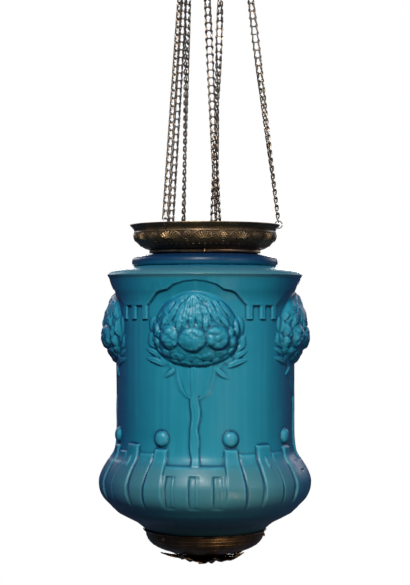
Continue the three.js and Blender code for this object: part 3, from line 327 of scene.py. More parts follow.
def tube(points, radius, sides=6):
    """Points and faces of a round tube along a path, with its ends capped."""
    p = np.array(points, float)
    count = len(p)
    tangent = np.gradient(p, axis=0)
    tangent /= np.linalg.norm(tangent, axis=1)[:, None]
    start = np.array([0.0, 0.0, 1.0] if abs(tangent[0][2]) < 0.9 else [1.0, 0.0, 0.0])
    side = np.cross(tangent[0], start)
    around = np.linspace(0, 2 * np.pi, sides, endpoint=False)
    circles = []
    for place, way in zip(p, tangent):
        side = side - way * side.dot(way)
        side /= np.linalg.norm(side)
        circle = np.outer(np.cos(around), side) + np.outer(np.sin(around), np.cross(way, side))
        circles.append(place + radius * circle)
    faces = band_faces(count, sides)
    faces.append(list(range(sides)))
    faces.append([(count - 1) * sides + k for k in reversed(range(sides))])
    return np.concatenate(circles), faces


def gather(parts):
    """Several (points, faces) pairs as one."""
    vertices, faces, first = [], [], 0
    for points, quads in parts:
        vertices.append(points)
        faces.extend([[corner + first for corner in face] for face in quads])
        first += len(points)
    return np.concatenate(vertices), faces


def spun(points, angle):
    """Points turned about Z by an angle in degrees."""
    a = math.radians(angle)
    x, y, z = np.asarray(points, float).T
    return np.column_stack([
        x * math.cos(a) - y * math.sin(a), x * math.sin(a) + y * math.cos(a), z
    ])


def threefold(first):
    return [first + step for step in (0, 120, 240)]


# Materials


def rgba(colour, share=1.0):
    return tuple(share * c for c in colour) + (1.0,)


class Shader:
    """A material with a Principled shader and short ways to add nodes before it."""

    def __init__(self, name):
        self.material = bpy.data.materials.new(name)
        self.material.use_nodes = True
        self.nodes = self.material.node_tree.nodes
        self.links = self.material.node_tree.links
        self.shader = self.nodes["Principled BSDF"]

    def set(self, **sockets):
        for name, value in sockets.items():
            self.shader.inputs[name.replace("_", " ")].default_value = value

    def feed(self, socket, value):
        self.links.new(value, self.shader.inputs[socket])

    def give(self, socket, value):
        """Links a node's output to a socket, or sets a plain value on it."""
        if isinstance(value, bpy.types.NodeSocket):
            self.links.new(value, socket)
        else:
            socket.default_value = value

    def node(self, kind, inputs=None, **settings):
        made = self.nodes.new(kind)
        for name, value in settings.items():
            setattr(made, name, value)
        for name, value in (inputs or {}).items():
            self.give(made.inputs[name], value)
        return made

    def place(self):
        return self.node("ShaderNodeTexCoord").outputs["Object"]

    def noise(self, scale, detail=4.0, stretch=None):
        where = self.place()
        if stretch:
            stretched = self.node("ShaderNodeMapping", {"Vector": where, "Scale": stretch})
            where = stretched.outputs["Vector"]
        made = self.node(
            "ShaderNodeTexNoise",
            {"Vector": where, "Scale": scale, "Detail": detail, "Roughness": 0.55},
        )
        return made.outputs["Fac"]

    def attribute(self, name):
        return self.node("ShaderNodeAttribute", attribute_name=name).outputs["Fac"]

    def step(self, value, low, high, to_low=0.0, to_high=1.0):
        ends = {"From Min": low, "From Max": high, "To Min": to_low, "To Max": to_high}
        made = self.node(
            "ShaderNodeMapRange", {"Value": value, **ends}, interpolation_type="SMOOTHSTEP"
        )
        return made.outputs["Result"]

    def mix(self, factor, first, second):
        made = self.node("ShaderNodeMix", data_type="RGBA")
        for name, value in (("Factor", factor), ("A", first), ("B", second)):
            self.give(next(i for i in made.inputs if i.name == name and i.enabled), value)
        return next(o for o in made.outputs if o.enabled)

    def math(self, operation, first, second):
        made = self.node("ShaderNodeMath", operation=operation)
        self.give(made.inputs[0], first)
        self.give(made.inputs[1], second)
        return made.outputs[0]

    def times(self, first, second):
        return self.math("MULTIPLY", first, second)

    def bump(self, height, strength, distance):
        made = self.node(
            "ShaderNodeBump", {"Height": height, "Strength": strength, "Distance": distance}
        )
        self.feed("Normal", made.outputs["Normal"])


def satin_glass(settings):
    """Blue glass with a satin skin, with light and shade painted into its colour: shade in the
    hollows and highlights on the raised edges.
    """
    s = Shader("satin_blue_glass")
    deep, clear, streak_and_highlight = rgba(settings.deep), rgba(settings.clear), rgba(settings.streak_and_highlight)
    navy, painted_sheen = rgba(settings.navy), rgba(settings.painted_sheen)
    cloud = s.noise(9.0, detail=3.0, stretch=(1, 1, 0.6))
    streak = s.noise(130.0, detail=3.0, stretch=(1, 1, 0.04))
    fine = s.noise(160.0, detail=5.0)
    raised = s.attribute("raised")
    blue = s.mix(s.step(cloud, 0.3, 0.72, 0.0, 0.5), clear, rgba(settings.clear, 0.72))
    blue = s.mix(s.step(streak, 0.45, 0.75, 0.0, 0.22), blue, streak_and_highlight)
    # painted sheen on the widest part and the shoulder; the roll and the foot are left for painted
    # shade
    height = s.node("ShaderNodeSeparateXYZ", {"Vector": s.place()}).outputs["Z"]
    patch = s.step(cloud, 0.2, 0.7, 0.6, 0.95)
    for low, high in SHEEN_BANDS:
        soft = 0.25 * (high - low)
        from_low = s.step(height, low - soft, low + soft)
        to_high = s.step(height, high + soft, high - soft)
        blue = s.mix(s.times(s.times(from_low, to_high), patch), blue, painted_sheen)
    # painted shade on the neck and the roll under the gallery
    blue = s.mix(s.step(height, *NECK_SHADE, 0.0, 0.5), blue, navy)
    # painted shade under the bulge
    blue = s.mix(s.step(height, *BOWL_SHADE, 0.0, 0.62), blue, deep)
    # painted shade in the hollows of the relief
    hollow = s.step(raised, 0.0, 0.46, settings.hollow_depth, 0.0)
    blue = s.mix(hollow, blue, deep)
    # painted highlight on the raised edges
    edge_highlight = s.times(s.step(raised, 0.54, 0.95), s.step(fine, 0.25, 0.75, 0.25, 0.55))
    blue = s.mix(edge_highlight, blue, streak_and_highlight)
    # painted shade: the glass turns navy where it is seen at a slant, as light falls off towards
    # the sides, but less so on the shoulder, which faces the light
    facing = s.node("ShaderNodeLayerWeight", {"Blend": 0.5}).outputs["Facing"]
    shoulder = s.times(s.step(height, *SLOPE_FOOT), s.step(height, *SLOPE_HEAD))
    slant = s.step(facing, 0.12, 0.8, 0.0, settings.depth)
    blue = s.mix(s.times(slant, s.step(shoulder, 0.0, 1.0, 1.0, 0.3)), blue, navy)
    # more painted shade on the roll, from a dark copy of the navy
    blue = s.mix(s.times(s.step(height, *ROLL_SHADE), 0.85), blue, rgba(settings.navy, 0.36))
    # painted shade on the foot, from a dark copy of the sheen colour
    blue = s.mix(s.step(height, *FOOT_SHADE, 0.0, 0.88), blue, rgba(settings.painted_sheen, 0.22))
    s.feed("Base Color", blue)
    smoothest, roughest = settings.roughness - 0.04, settings.roughness + 0.06
    s.feed("Roughness", s.step(fine, 0.3, 0.7, smoothest, roughest))
    s.set(IOR=1.48, Metallic=0.0, Specular_IOR_Level=settings.gloss)
    s.bump(fine, 0.08, 0.0003)
    return s.material


def brass(name, dark, bright, wear, roughness, metal, even):
    """Patinated brass that is rubbed bright where it stands out, or in even patches."""
    s = Shader(name)
    stain = s.noise(60.0, detail=6.0)
    speck = s.noise(700.0, detail=3.0)
    raised = s.step(s.noise(22.0, detail=5.0), 0.3, 0.75) if even else s.attribute("raised")
    rubbed = s.times(s.step(raised, 0.45, 1.0), s.step(stain, 0.35, 0.65))
    base = s.mix(s.step(stain, 0.35, 0.7), rgba(dark, 0.55), rgba(dark))
    s.feed("Base Color", s.mix(s.times(rubbed, wear), base, rgba(bright)))
    s.feed("Roughness", s.step(speck, 0.3, 0.7, roughness - 0.08, roughness + 0.14))
    s.set(Metallic=metal)
    s.bump(s.math("ADD", stain, s.times(speck, 0.4)), 0.25, 0.0005)
    return s.material


def clear_glass():
    s = Shader("clear_lamp_glass")
    s.feed("Roughness", s.step(s.noise(40.0), 0.3, 0.7, 0.02, 0.08))
    s.feed("Base Color", s.mix(s.noise(14.0), rgba((0.86, 0.93, 0.92)), rgba((0.95, 0.98, 0.97))))
    s.set(Transmission_Weight=0.92, IOR=1.5)
    return s.material


def cotton_weave():
    s = Shader("cotton_weave")
    threads = {"Vector": s.place(), "Scale": 180.0, "Distortion": 1.5}
    weave = s.node("ShaderNodeTexWave", threads, bands_direction="Z").outputs["Fac"]
    s.feed("Base Color", s.mix(weave, rgba((0.55, 0.5, 0.4)), rgba((0.8, 0.76, 0.66))))
    s.feed("Roughness", s.step(weave, 0.0, 1.0, 0.85, 0.98))
    s.bump(weave, 0.4, 0.0004)
    return s.material


def pale_paper(colour):
    s = Shader("pale_paper")
    s.feed("Base Color", s.mix(s.noise(3.0, detail=2.0), rgba(colour, 0.985), rgba(colour)))
    s.set(Roughness=0.9)
    return s.material


# Embossed glass

# Edge of the skirt over a tree: angle from the tree's middle in degrees, height
SKIRT_OUTLINE = (
    (0, -71.0), (6.5, -72.3), (13, -76.3), (17, -81.9), (18.6, -82.6), (22, -83.8),
    (25, -86.6), (27, -90.5), (31.4, -99.0), (33.6, SKIRT_EDGE), (46, SKIRT_EDGE),
)

# Outlines of the shade: radius, height
NECK_PROFILE = (
    (NECK_RADIUS, NECK_TOP), (NECK_RADIUS, -30.0), (NECK_RADIUS - 2.3, -31.2),
    (NECK_RADIUS - 2.3, ROLL_TOP), (70.5, -37.2), (78.7, -38.4), (87.6, -40.2), (91.4, -42.6),
    (ROLL_RADIUS, -45.4), (ROLL_RADIUS, -48.6), (91.0, -50.9), (89.2, -51.8), (92.7, -52.8),
    (100.3, -54.2), (112.4, -56.8), (120.2, -59.8), (SHOULDER_RADIUS, SHOULDER),
    (SHOULDER_RADIUS - 0.4, SHOULDER - 1.6),
)
BODY_PROFILE = (
    (SHOULDER_RADIUS - 3.4, SHOULDER - 3.8), (SHOULDER_RADIUS - 5.4, SHOULDER - 10),
    (WALL_RADIUS + 4.3, -82), (WALL_RADIUS + 1.2, -92), (WALL_RADIUS, -103),
    (WALL_RADIUS, -130), (WALL_RADIUS, -186.5), (WALL_RADIUS, -250),
    (WALL_RADIUS + 0.4, -268), (WALL_RADIUS + 2.4, -283), (WALL_RADIUS + 6.2, -291),
    (WALL_RADIUS + 10.4, -296.4), (WALL_RADIUS + 18.7, -310.9), (BULGE_RADIUS, BULGE),
    (BULGE_RADIUS - 3.5, BULGE - 17.5), (BULGE_RADIUS - 15, BULGE - 31.8),
)
FOOT_PROFILE = (
    (110.5, -361.2), (99.0, -367.4), (88.9, -372.6), (82.6, -377.2), (78.6, -380.6),
    (75.4, -383.5), (FOOT_RADIUS - 1.2, -387.0), (FOOT_RADIUS - FOOT_TAPER, FOOT_END),
)
INNER_FOOT = (
    (FOOT_RADIUS - FOOT_TAPER - 2.7, FOOT_END), (74.4, -376.5), (BULGE_RADIUS - 22, -356),
)
INNER_NECK = (
    (SHOULDER_RADIUS - 9, -68), (ROLL_RADIUS - 3.4, -52), (NECK_BORE, -41), (NECK_BORE, NECK_TOP),
)


def body_radius(height):
    """Radius of the plain glass wall at a height."""
    curve = curve_through(BODY_PROFILE)[::-1]
    return np.interp(height, curve[:, 1], curve[:, 0])


# A tree is laid out flat: u is millimetres across from its middle, v the height under the rim.


def across_wall(angle):
    return WALL_RADIUS * np.radians(angle)


def dome(u, v, centre, radii, height):
    return height * cap((u - centre[0]) / radii[0], (v - centre[1]) / radii[1])


def along_line(u, v, points):
    """Distance to a line through the points, and how far along it the nearest place is."""
    p = np.array(points, float)
    starts = lengths_along(p)
    nearest = np.full(u.shape, np.inf)
    share = np.zeros(u.shape)
    for place, after, start, length in zip(p, p[1:], starts, np.diff(starts)):
        du, dv = (after - place) / length
        t = np.clip((u - place[0]) * du + (v - place[1]) * dv, 0, length)
        gap = np.hypot(u - place[0] - du * t, v - place[1] - dv * t)
        closer = gap < nearest
        nearest = np.where(closer, gap, nearest)
        share = np.where(closer, (start + t) / starts[-1], share)
    return nearest, share


def stroke(u, v, points, width, height):
    """A soft ridge, or a groove where height is negative, that tapers to both ends."""
    gap, share = along_line(u, v, points)
    taper = 0.35 + 0.65 * np.sin(np.pi * np.clip(share, 0.02, 0.98)) ** 0.6
    return height * ridge(gap, width * taper)


def pointed_leaf(u, v, root, tip, half_width, height, bow):
    """A leaf with a midrib from its root to its tip, bowed to one side."""
    axis = np.array(tip, float) - np.array(root, float)
    length = math.hypot(*axis)
    along = ((u - root[0]) * axis[0] + (v - root[1]) * axis[1]) / length ** 2
    t = np.clip(along, 0, 1)
    aside = ((v - root[1]) * axis[0] - (u - root[0]) * axis[1]) / length - bow * 4 * t * (1 - t)
    width = half_width * np.sin(np.pi * t ** 0.8) ** 0.7 + 1e-3
    ratio = np.abs(aside) / width
    body = height * cap(ratio) * (0.35 + 0.65 * np.sin(np.pi * t ** 0.7))
    rib = 0.28 * height * ridge(aside, 0.2 * half_width) * (ratio < 1)
    return np.where((along > 0) & (along < 1), np.maximum(body - rib, 0), 0)


# Leaves of the crown: root, tip, half width, relief, bow
APEX = (-2.2, -85.5)
LONG_LEAVES = (
    ((-31, -96), (-51, -122), 3.9, 2.4, 0.8), ((-24, -94), (-43, -123), 4.1, 2.8, 0.8),
    ((-17, -95), (-33, -126), 4.3, 3.1, 0.6), ((-11.5, -97), (-22, -127), 4.4, 3.3, 0.4),
    ((-6.8, -99), (-12, -128), 4.3, 3.4, 0.2), ((-2, -100), (-2.6, -129), 4.4, 3.6, 0.0),
    ((-28, -108), (-40, -131), 3.6, 3.4, 0.4), ((-15, -112), (-17.4, -133.5), 3.4, 3.6, 0.2),
    ((12.6, -111), (12.4, -133), 3.4, 3.6, -0.2), ((25, -108), (40.4, -130), 3.6, 3.4, -0.4),
    ((2.6, -99), (7.4, -128), 4.3, 3.4, -0.2), ((8.6, -97), (17.6, -126), 4.4, 3.4, -0.4),
    ((14.6, -95), (28, -125), 4.3, 3.1, -0.6), ((21.5, -94), (38.5, -123), 4.1, 2.8, -0.8),
    ((29, -96), (48.5, -120), 3.9, 2.4, -0.8),
)
SHORT_LEAVES = (
    (APEX, (-31, -98), 3.4, 2.0, 1.4), (APEX, (-21, -104), 3.7, 3.0, 0.8),
    (APEX, (-11, -110), 3.9, 3.8, 0.4), (APEX, (-1.6, -112), 4.0, 4.2, 0.0),
    (APEX, (8, -110), 3.9, 3.8, -0.4), (APEX, (18, -104), 3.7, 3.0, -0.8),
    (APEX, (27.5, -98), 3.4, 2.0, -1.4),
)
SIDE_LEAVES = (
    ((-39, -173.5), (-66.5, -165.5), 3.9, 2.6, -1.6),
    ((-44, -163), (-66.5, -154), 3.7, 2.5, -1.2), ((-47, -154), (-65, -144.5), 3.5, 2.4, -1.0),
    ((-50, -146), (-62, -134.5), 3.2, 2.2, -0.8), ((38, -176), (66, -167), 4.0, 2.6, 1.6),
    ((47, -166), (65, -156), 3.7, 2.5, 1.2), ((50, -157), (64, -146.5), 3.5, 2.4, 1.0),
    ((52, -148), (63.4, -137.5), 3.2, 2.2, 0.8), ((-25, -177), (-40.5, -188.5), 3.0, 2.4, 0.8),
    ((23, -176), (42.5, -190.5), 3.6, 2.6, -1.0),
)

# Round lumps of the crown: middle across and height, radii, relief
BLOSSOMS = (
    ((-28.6, -139.5), (12.2, 15.0), 3.4), ((-1.6, -143.2), (15.2, 15.5), 3.9),
    ((25.0, -140.8), (14.4, 14.8), 3.6),
)
PETALS = (
    ((-29.2, -132.3), (4.6, 4.2), 1.5), ((-34.6, -140.5), (4.0, 5.4), 1.4),
    ((-27.0, -146.4), (6.0, 5.0), 1.2), ((-21.6, -137.5), (4.4, 5.2), 1.3),
    ((-20.4, -148.6), (2.4, 2.2), 1.4), ((-8.2, -132.6), (5.4, 4.4), 1.3),
    ((-0.9, -130.6), (4.6, 3.6), 1.2), ((6.6, -133.6), (5.2, 5.0), 1.5),
    ((-1.5, -146.5), (9.6, 9.0), 1.0), ((22.6, -131.6), (7.6, 4.2), 1.7),
    ((31.6, -136.8), (5.6, 6.2), 1.6), ((19.0, -143.6), (4.4, 6.8), 1.7),
    ((26.4, -150.2), (6.4, 4.0), 1.3), ((32.8, -146.2), (4.6, 5.0), 1.3),
    ((25.4, -140.8), (3.4, 3.4), 1.2),
)
LOBES = (
    ((-54.2, -125.0), (6.4, 10.0), 4.4), ((-46.6, -131.0), (5.0, 8.6), 3.6),
    ((-57.0, -142.8), (5.2, 9.0), 3.8), ((52.4, -127.4), (7.8, 13.0), 4.8),
    ((57.4, -145.6), (5.2, 8.6), 3.6), ((-47.0, -147.0), (5.4, 7.6), 3.2),
    ((44.6, -145.8), (5.4, 8.0), 3.2), ((45.4, -158.0), (7.4, 6.6), 3.0),
    ((-47.6, -158.6), (6.8, 7.2), 3.0), ((-39.6, -168.8), (8.2, 6.0), 3.0),
    ((-25.4, -172.2), (8.0, 6.6), 2.4), ((-11.4, -173.4), (8.6, 5.8), 2.4),
    ((2.6, -172.2), (7.4, 6.8), 2.0), ((14.6, -173.6), (6.6, 5.4), 2.5),
    ((26.4, -171.0), (7.8, 7.2), 2.4), ((38.6, -166.4), (7.2, 6.0), 3.1),
    ((-35.6, -159.0), (7.4, 5.8), 1.9), ((-20.0, -163.6), (9.0, 5.2), 1.3),
    ((-2.0, -164.8), (10.6, 4.6), 1.0), ((15.6, -163.2), (8.8, 5.2), 1.3),
    ((30.6, -159.6), (7.8, 5.8), 1.7), ((41.2, -134.0), (4.0, 8.0), 2.8),
    ((-41.4, -136.0), (3.6, 6.0), 2.6),
)

# Deep lines round the lumps: places, width, depth
CREASES = (
    (((-39.6, -131.5), (-40.6, -142.1), (-36.6, -151.2), (-28.0, -155.8),
     (-19.6, -153.4)), 1.3, 1.4),
    (((-16.8, -147.0), (-13.0, -153.4), (-5.6, -157.8), (2.8, -157.6), (9.4, -152.8),
     (12.8, -146.0)), 1.5, 2.8),
    (((15.6, -149.5), (21.6, -154.6), (30.4, -154.8), (37.0, -148.4),
     (39.2, -138.1)), 1.3, 1.5),
    (((-50.6, -136.4), (-51.6, -149.6), (-49.4, -158.3), (-44.6, -167.6)), 1.3, 1.4),
    (((49.2, -137.0), (50.2, -147.6), (48.6, -156.6), (42.2, -166.0)), 1.3, 1.4),
    (((-7.4, -90.0), (-13.4, -97.6), (-19.6, -105.6)), 1.0, 1.1),
    (((2.6, -90.0), (8.4, -97.6), (14.0, -104.6)), 1.0, 1.1),
)

# Branches that spread from the trunk to the crown: places
BRANCHES = (
    ((-5.0, -213), (-12.0, -208.5), (-17.5, -201), (-20.4, -192), (-21.8, -182),
     (-22.8, -172)),
    ((-9.4, -205), (-11.0, -192), (-10.4, -172)),
    ((4.0, -214), (11.0, -209), (17.0, -202), (20.4, -193), (22.2, -183), (23.4, -172)),
    ((10.2, -204), (11.4, -192), (10.8, -172)),
)


def mottle(u, v, size, seed):
    """Soft uneven lumps about size millimetres wide, from -1 to 1."""
    grid = np.random.default_rng(seed).uniform(-1, 1, (64, 64))
    x, y = (u + 200) / size, (v + 500) / size
    column, row = np.floor(x).astype(int), np.floor(y).astype(int)
    x, y = smooth(x - column, 0, 1), smooth(y - row, 0, 1)
    corner = [[grid[(column + i) % 64, (row + j) % 64] for j in (0, 1)] for i in (0, 1)]
    low = corner[0][0] * (1 - x) + corner[1][0] * x
    high = corner[0][1] * (1 - x) + corner[1][1] * x
    return low * (1 - y) + high * y


def crown_base(u, v):
    """The swelling that carries the crown's leaves, fullest under its middle."""
    end = np.where(v > CROWN_PEAK, CROWN_TOP, CROWN_BOTTOM)
    inside = 1 - (u / CROWN_HALF_WIDTH) ** 2 - ((v - CROWN_PEAK) / (end - CROWN_PEAK)) ** 2
    return CROWN_RELIEF * np.clip(inside, 0, None) ** 0.85


def crown_relief(u, v):
    """Everything on the crown of one tree, over the plain wall."""
    leaves = [pointed_leaf(u, v, *leaf) for leaf in LONG_LEAVES + SHORT_LEAVES]
    lobes = [dome(u, v, *lump) for lump in LOBES]
    blossoms = highest([dome(u, v, *lump) for lump in BLOSSOMS])
    petals = highest([dome(u, v, *lump) for lump in PETALS])
    detail = highest(leaves + lobes + [np.where(blossoms > 0, blossoms + 0.8 * petals, 0)])
    for places, width, depth in CREASES:
        detail = detail + stroke(u, v, places, width, -depth)
    base = crown_base(u, v)
    rim = smooth(base, 0.3, 5.0)
    detail = detail + rim * (0.55 * mottle(u, v, 4.6, 3) + 0.4 * mottle(u, v, 2.6, 5))
    outer = highest([pointed_leaf(u, v, *leaf) for leaf in SIDE_LEAVES])
    return base + np.maximum(detail * (0.55 + 0.45 * rim), outer * (1 - 0.6 * rim))


def trunk_relief(u, v):
    """A knotty stem under the crown, with branches that spread from it like a cup."""
    wander = 0.9 * np.sin((v + 20) / 9.0) + 0.5 * np.sin(v / 4.7 + 1.0)
    middle = -0.6 + wander * smooth(v, -200, -215)
    half = 5.4 + 0.6 * np.sin(v / 6.3)
    ratio = np.abs(u - middle) / half
    stem = 3.0 * cap(ratio ** 2)
    for shift, phase in ((1.6, 0.0), (-2.2, 2.0)):
        bend = shift + 0.7 * np.sin(v / 7.5 + phase)
        stem -= 0.45 * ridge(u - middle - bend, 1.0) * (ratio < 1)
    stem = stem * smooth(v, PANEL_TOP - 1, PANEL_TOP + 1)
    stem = stem * smooth(v, CROWN_BOTTOM + 8, CROWN_BOTTOM + 2)
    rise = np.clip((v + 213) / 36.0, 0.03, 1) ** 0.36
    pad = 1.6 * smooth(np.abs(u), 23.5 * rise, 19.0 * rise) * smooth(v, -214, -208)
    pad = pad + 0.35 * np.sin(u / 2.2 + 0.5 * np.sin(v / 9.0)) * smooth(pad, 0.2, 1.5)
    branches = highest([stroke(u, v, places, 3.2, 1.4) for places in BRANCHES])
    under = smooth(v, CROWN_BOTTOM + 9, CROWN_BOTTOM + 3)
    return np.maximum(stem, np.maximum(branches, pad) * under)


def plateau(a, v, left, right, top, height, lean=0.0):
    """A flat raised strip between two angles under a top edge, wider at its foot by lean."""
    left, right = (left - lean * below(v), right + lean * below(v))
    across = smooth(a, left - 0.5, left + 0.5) * smooth(a, right + 0.5, right - 0.5)
    fade = smooth(v, RAILING_BOTTOM - 10, RAILING_BOTTOM + 16)
    return height * across * smooth(v, top + 1.1, top - 0.33) * fade


def below(v):
    """How far down the railing a height is, from 0 at the posts' tops to 1."""
    return np.clip((POST_TOP - v) / 60.0, 0, 1)


def railing_relief(a, v):
    """Posts, slats and a slotted panel at the shade's foot. a is the angle from the tree."""
    b = np.abs(a)
    tall = 45 - b
    relief = highest([
        plateau(b, v, -5, 17.4, PANEL_TOP, 2.1),
        plateau(b, v, 27.4, 38.6, SLAT_TOP, 1.8, lean=0.3),
        plateau(b, v, 18.2, 26.3, POST_TOP, 3.4, lean=1.5),
        plateau(tall, v, -6, 5.2, TALL_POST_TOP, 3.2, lean=1.0),
    ])
    # slots in the panel, with a deep left edge and a raised right one
    high = smooth(v, -344.5, -342.5) * smooth(v, -304.4, -306.2)
    ends = ridge(v + 305.6, 0.9) + ridge(v + 343.4, 0.9)
    for centre in (-12.8, 0.0, 12.8):
        wide = smooth(np.abs(a - centre), 2.9, 2.2)
        left, right = ridge(a - centre + 2.4, 0.45), ridge(a - centre - 1.6, 0.5)
        relief = relief - high * (0.7 * wide + 1.2 * left - 0.9 * right) - 0.9 * ends * wide
    relief = relief + dome(tall * 1.93, v, (0, -290.5), (2.6, 7.0), 1.9)
    # deep lines beside the posts and under the panel's top edge
    low = smooth(v, RAILING_BOTTOM - 8, RAILING_BOTTOM + 14)
    post = ridge(b - 26.9 - 1.9 * below(v), 0.6) * smooth(v, POST_TOP - 1, POST_TOP - 4)
    tall_post = ridge(tall - 6.0 - 1.2 * below(v), 0.55)
    tall_post = tall_post * smooth(v, TALL_POST_TOP, TALL_POST_TOP - 4)
    lid = ridge(v - PANEL_TOP - 1.6, 0.9) * smooth(b, 17.6, 16.8)
    return relief - (1.3 * post + 0.9 * tall_post) * low - 0.9 * lid


def skirt_relief(a, v):
    """The skirt's stepped edge, with teeth on the straight stretches between the trees."""
    b = np.abs(a)
    edge = np.interp(b, *np.array(SKIRT_OUTLINE).T)
    skirt = (1.4 + 1.2 * smooth(v, -69.0, -84.0)) * smooth(v, edge - 0.6, edge + 0.7)
    under = -1.0 * ridge(v - edge + 1.7, 1.1)
    teeth = np.zeros_like(b)
    for centre in (35.0, 45.0):
        gap = np.abs(b - centre)
        tooth = smooth(gap, 2.6, 1.8) * smooth(v, -119.0, -117.6)
        teeth = np.maximum(teeth, 2.4 * tooth * (v < SKIRT_EDGE + 2))
        shade = ridge(gap - 2.9, 0.5) * smooth(v, -120.0, -117.0)
        under = under - 0.8 * shade * (v < SKIRT_EDGE - 1)
    return np.maximum(skirt + under, teeth)


def ball_relief(u, v):
    """A ball over each post, with a fine groove round it."""
    relief = np.zeros_like(u)
    for side in (-1, 1):
        centre = (side * across_wall(BALL_ANGLE), BALL_HEIGHT)
        relief = np.maximum(relief, dome(u, v, centre, (BALL_RADIUS, BALL_RADIUS), 6.0))
        gap = np.hypot(u - centre[0], v - centre[1])
        relief = relief - 0.5 * ridge(gap - BALL_RADIUS - 0.6, 0.8)
    return relief


def relief_at(a, v):
    """All the relief at an angle from the nearest tree, in degrees, and a height."""
    u = across_wall(a)
    figure = np.maximum(crown_relief(u, v), trunk_relief(u, v))
    figure = figure + ball_relief(u, v) * smooth(v, -280.0, -276.0)
    uneven = 0.16 * mottle(u, v, 13.0, 11) * smooth(np.abs(a), 45, 38)
    return skirt_relief(a, v) + np.maximum(figure, railing_relief(a, v)) + uneven


def blurred(grid, reach):
    """The grid softened over a reach of cells. It goes round across and ends up and down."""
    steps = np.arange(-3 * reach, 3 * reach + 1)
    weights = np.exp(-0.5 * (steps / reach) ** 2)
    weights /= weights.sum()
    across = sum(w * np.roll(grid, int(k), axis=1) for k, w in zip(steps, weights))
    rows = np.arange(len(grid))
    return sum(w * across[np.clip(rows + k, 0, len(grid) - 1)] for k, w in zip(steps, weights))


def hollow_and_edge_marks(relief):
    """From 0 in the hollows to 1 on the edges that stand out, and 0.5 on a plain wall: where
    painted shade and painted highlights go.
    """
    fine = relief - blurred(relief, 2)
    broad = relief - blurred(relief, 4)
    return np.clip(0.5 + 0.36 * fine + 0.16 * broad, 0.0, 1.0)


def embossed_glass(settings, material):
    """The shade: turned neck, embossed body and foot outside, and a plain wall inside."""
    angle = np.linspace(-45, 45, settings.columns_per_tree, endpoint=False)
    body_top, body_end = BODY_PROFILE[0][1], BODY_PROFILE[-1][1]
    fine = np.arange(body_top, TREE_ROWS_END, -settings.row_step)
    coarse = np.arange(TREE_ROWS_END, body_end, -1.3 * settings.row_step)
    heights = np.concatenate([fine, coarse, [body_end]])
    a, v = np.meshgrid(angle, heights)
    relief = relief_at(a, v)
    body = body_radius(v) + relief * smooth(v, body_end, body_end + 6.0)
    rows = [*curve_through(NECK_PROFILE, 3), *zip(body, heights), *curve_through(FOOT_PROFILE, 4)]
    marks = [0.5] * len(rows)
    neck = len(rows) - len(heights) - len(curve_through(FOOT_PROFILE, 4))
    # marks for the painted shade in the hollows and the painted highlight on the edges
    marks[neck:neck + len(heights)] = hollow_and_edge_marks(relief - crown_base(across_wall(a), v))
    rows += INNER_FOOT
    for height in np.linspace(-345, -80, 24):
        hollow = crown_base(1.15 * across_wall(angle), height)
        rows.append((body_radius(height) + 0.9 * hollow - GLASS_WALL, height))
    rows += INNER_NECK
    marks += [0.5] * (len(rows) - len(marks))

    def all_round(value):
        return np.tile(np.broadcast_to(value, angle.shape), TREES)

    rows = [(all_round(radius), height) for radius, height in rows]
    marks = [all_round(mark) for mark in marks]
    turn = np.radians(np.concatenate([TREE_TURN + 90 * tree + angle for tree in range(TREES)]))
    return ring_piece("embossed_glass_shade", rows, marks, turn, material, 60)


# Brass gallery

BOWL_OUTSIDE = (
    (RIM_RADIUS, 0.0), (93.2, -2.6), (90.4, -5.6), (89.7, -7.6), (89.9, -11.0), (89.8, -15.0),
    (88.6, -19.0), (86.0, -22.6), (82.0, -26.2), (76.8, -29.4), (71.4, -31.5),
)
BOWL_INSIDE = (
    (COLLAR_BORE, -31.5), (COLLAR_BORE, -30.3), (71.0, -30.3), (79.5, -24.4), (84.3, -18.8),
    (87.6, -13.0), (88.2, -7.2), (91.6, -3.2), (94.2, 0.5), (95.1, 0.6),
)


def gallery_relief(a, s):
    """Ornament on the bowl in one of its repeats: a fan and a rosette between beaded lines.

    a is the angle from the repeat's middle in degrees, s the distance down the bowl in mm.
    """
    u = a * BOWL_DEGREE
    # beads under the lip, a plain line, and smaller beads at the foot
    layers = [
        0.45 * cap(from_middle(a, 3.0) * BOWL_DEGREE / 1.3, (s - 8.6) / 1.2),
        0.8 * ridge(s - 11.6, 0.6),
        0.9 * cap(from_middle(a, 5.0) * BOWL_DEGREE / 1.5, (s - 31.4) / 1.2),
    ]
    # fan of rays that opens upwards from a root low on the bowl, under an arch
    across, up = u / 1.3, 25.5 - s
    reach = np.hypot(across, up)
    turn = np.degrees(np.arctan2(across, up))
    fan = 1.3 * cap(reach * np.radians(from_middle(turn, 15.0)) / 0.6)
    fan = fan * smooth(reach, 2.5, 4.5) * smooth(reach, 13.2, 11.6) * smooth(np.abs(turn), 62, 55)
    arch = 0.7 * ridge(reach - 13.9, 0.6) * smooth(np.abs(turn), 80, 70)
    # rosette in a ring halfway to the next fan, with a button under it
    side = 15 * BOWL_DEGREE - np.abs(u)
    rose = np.hypot(side, s - 17.6)
    petal = 0.45 + 0.55 * np.abs(np.cos(3 * np.arctan2(s - 17.6, side)))
    layers += [
        fan, arch, 1.1 * smooth(rose, 4.4, 3.6) * petal * smooth(rose, 0.8, 1.6),
        1.3 * cap(rose / 1.5), 0.8 * ridge(rose - 5.3, 0.5),
        1.2 * cap(np.hypot(side, s - 26.6) / 1.7),
    ]
    return highest(layers)


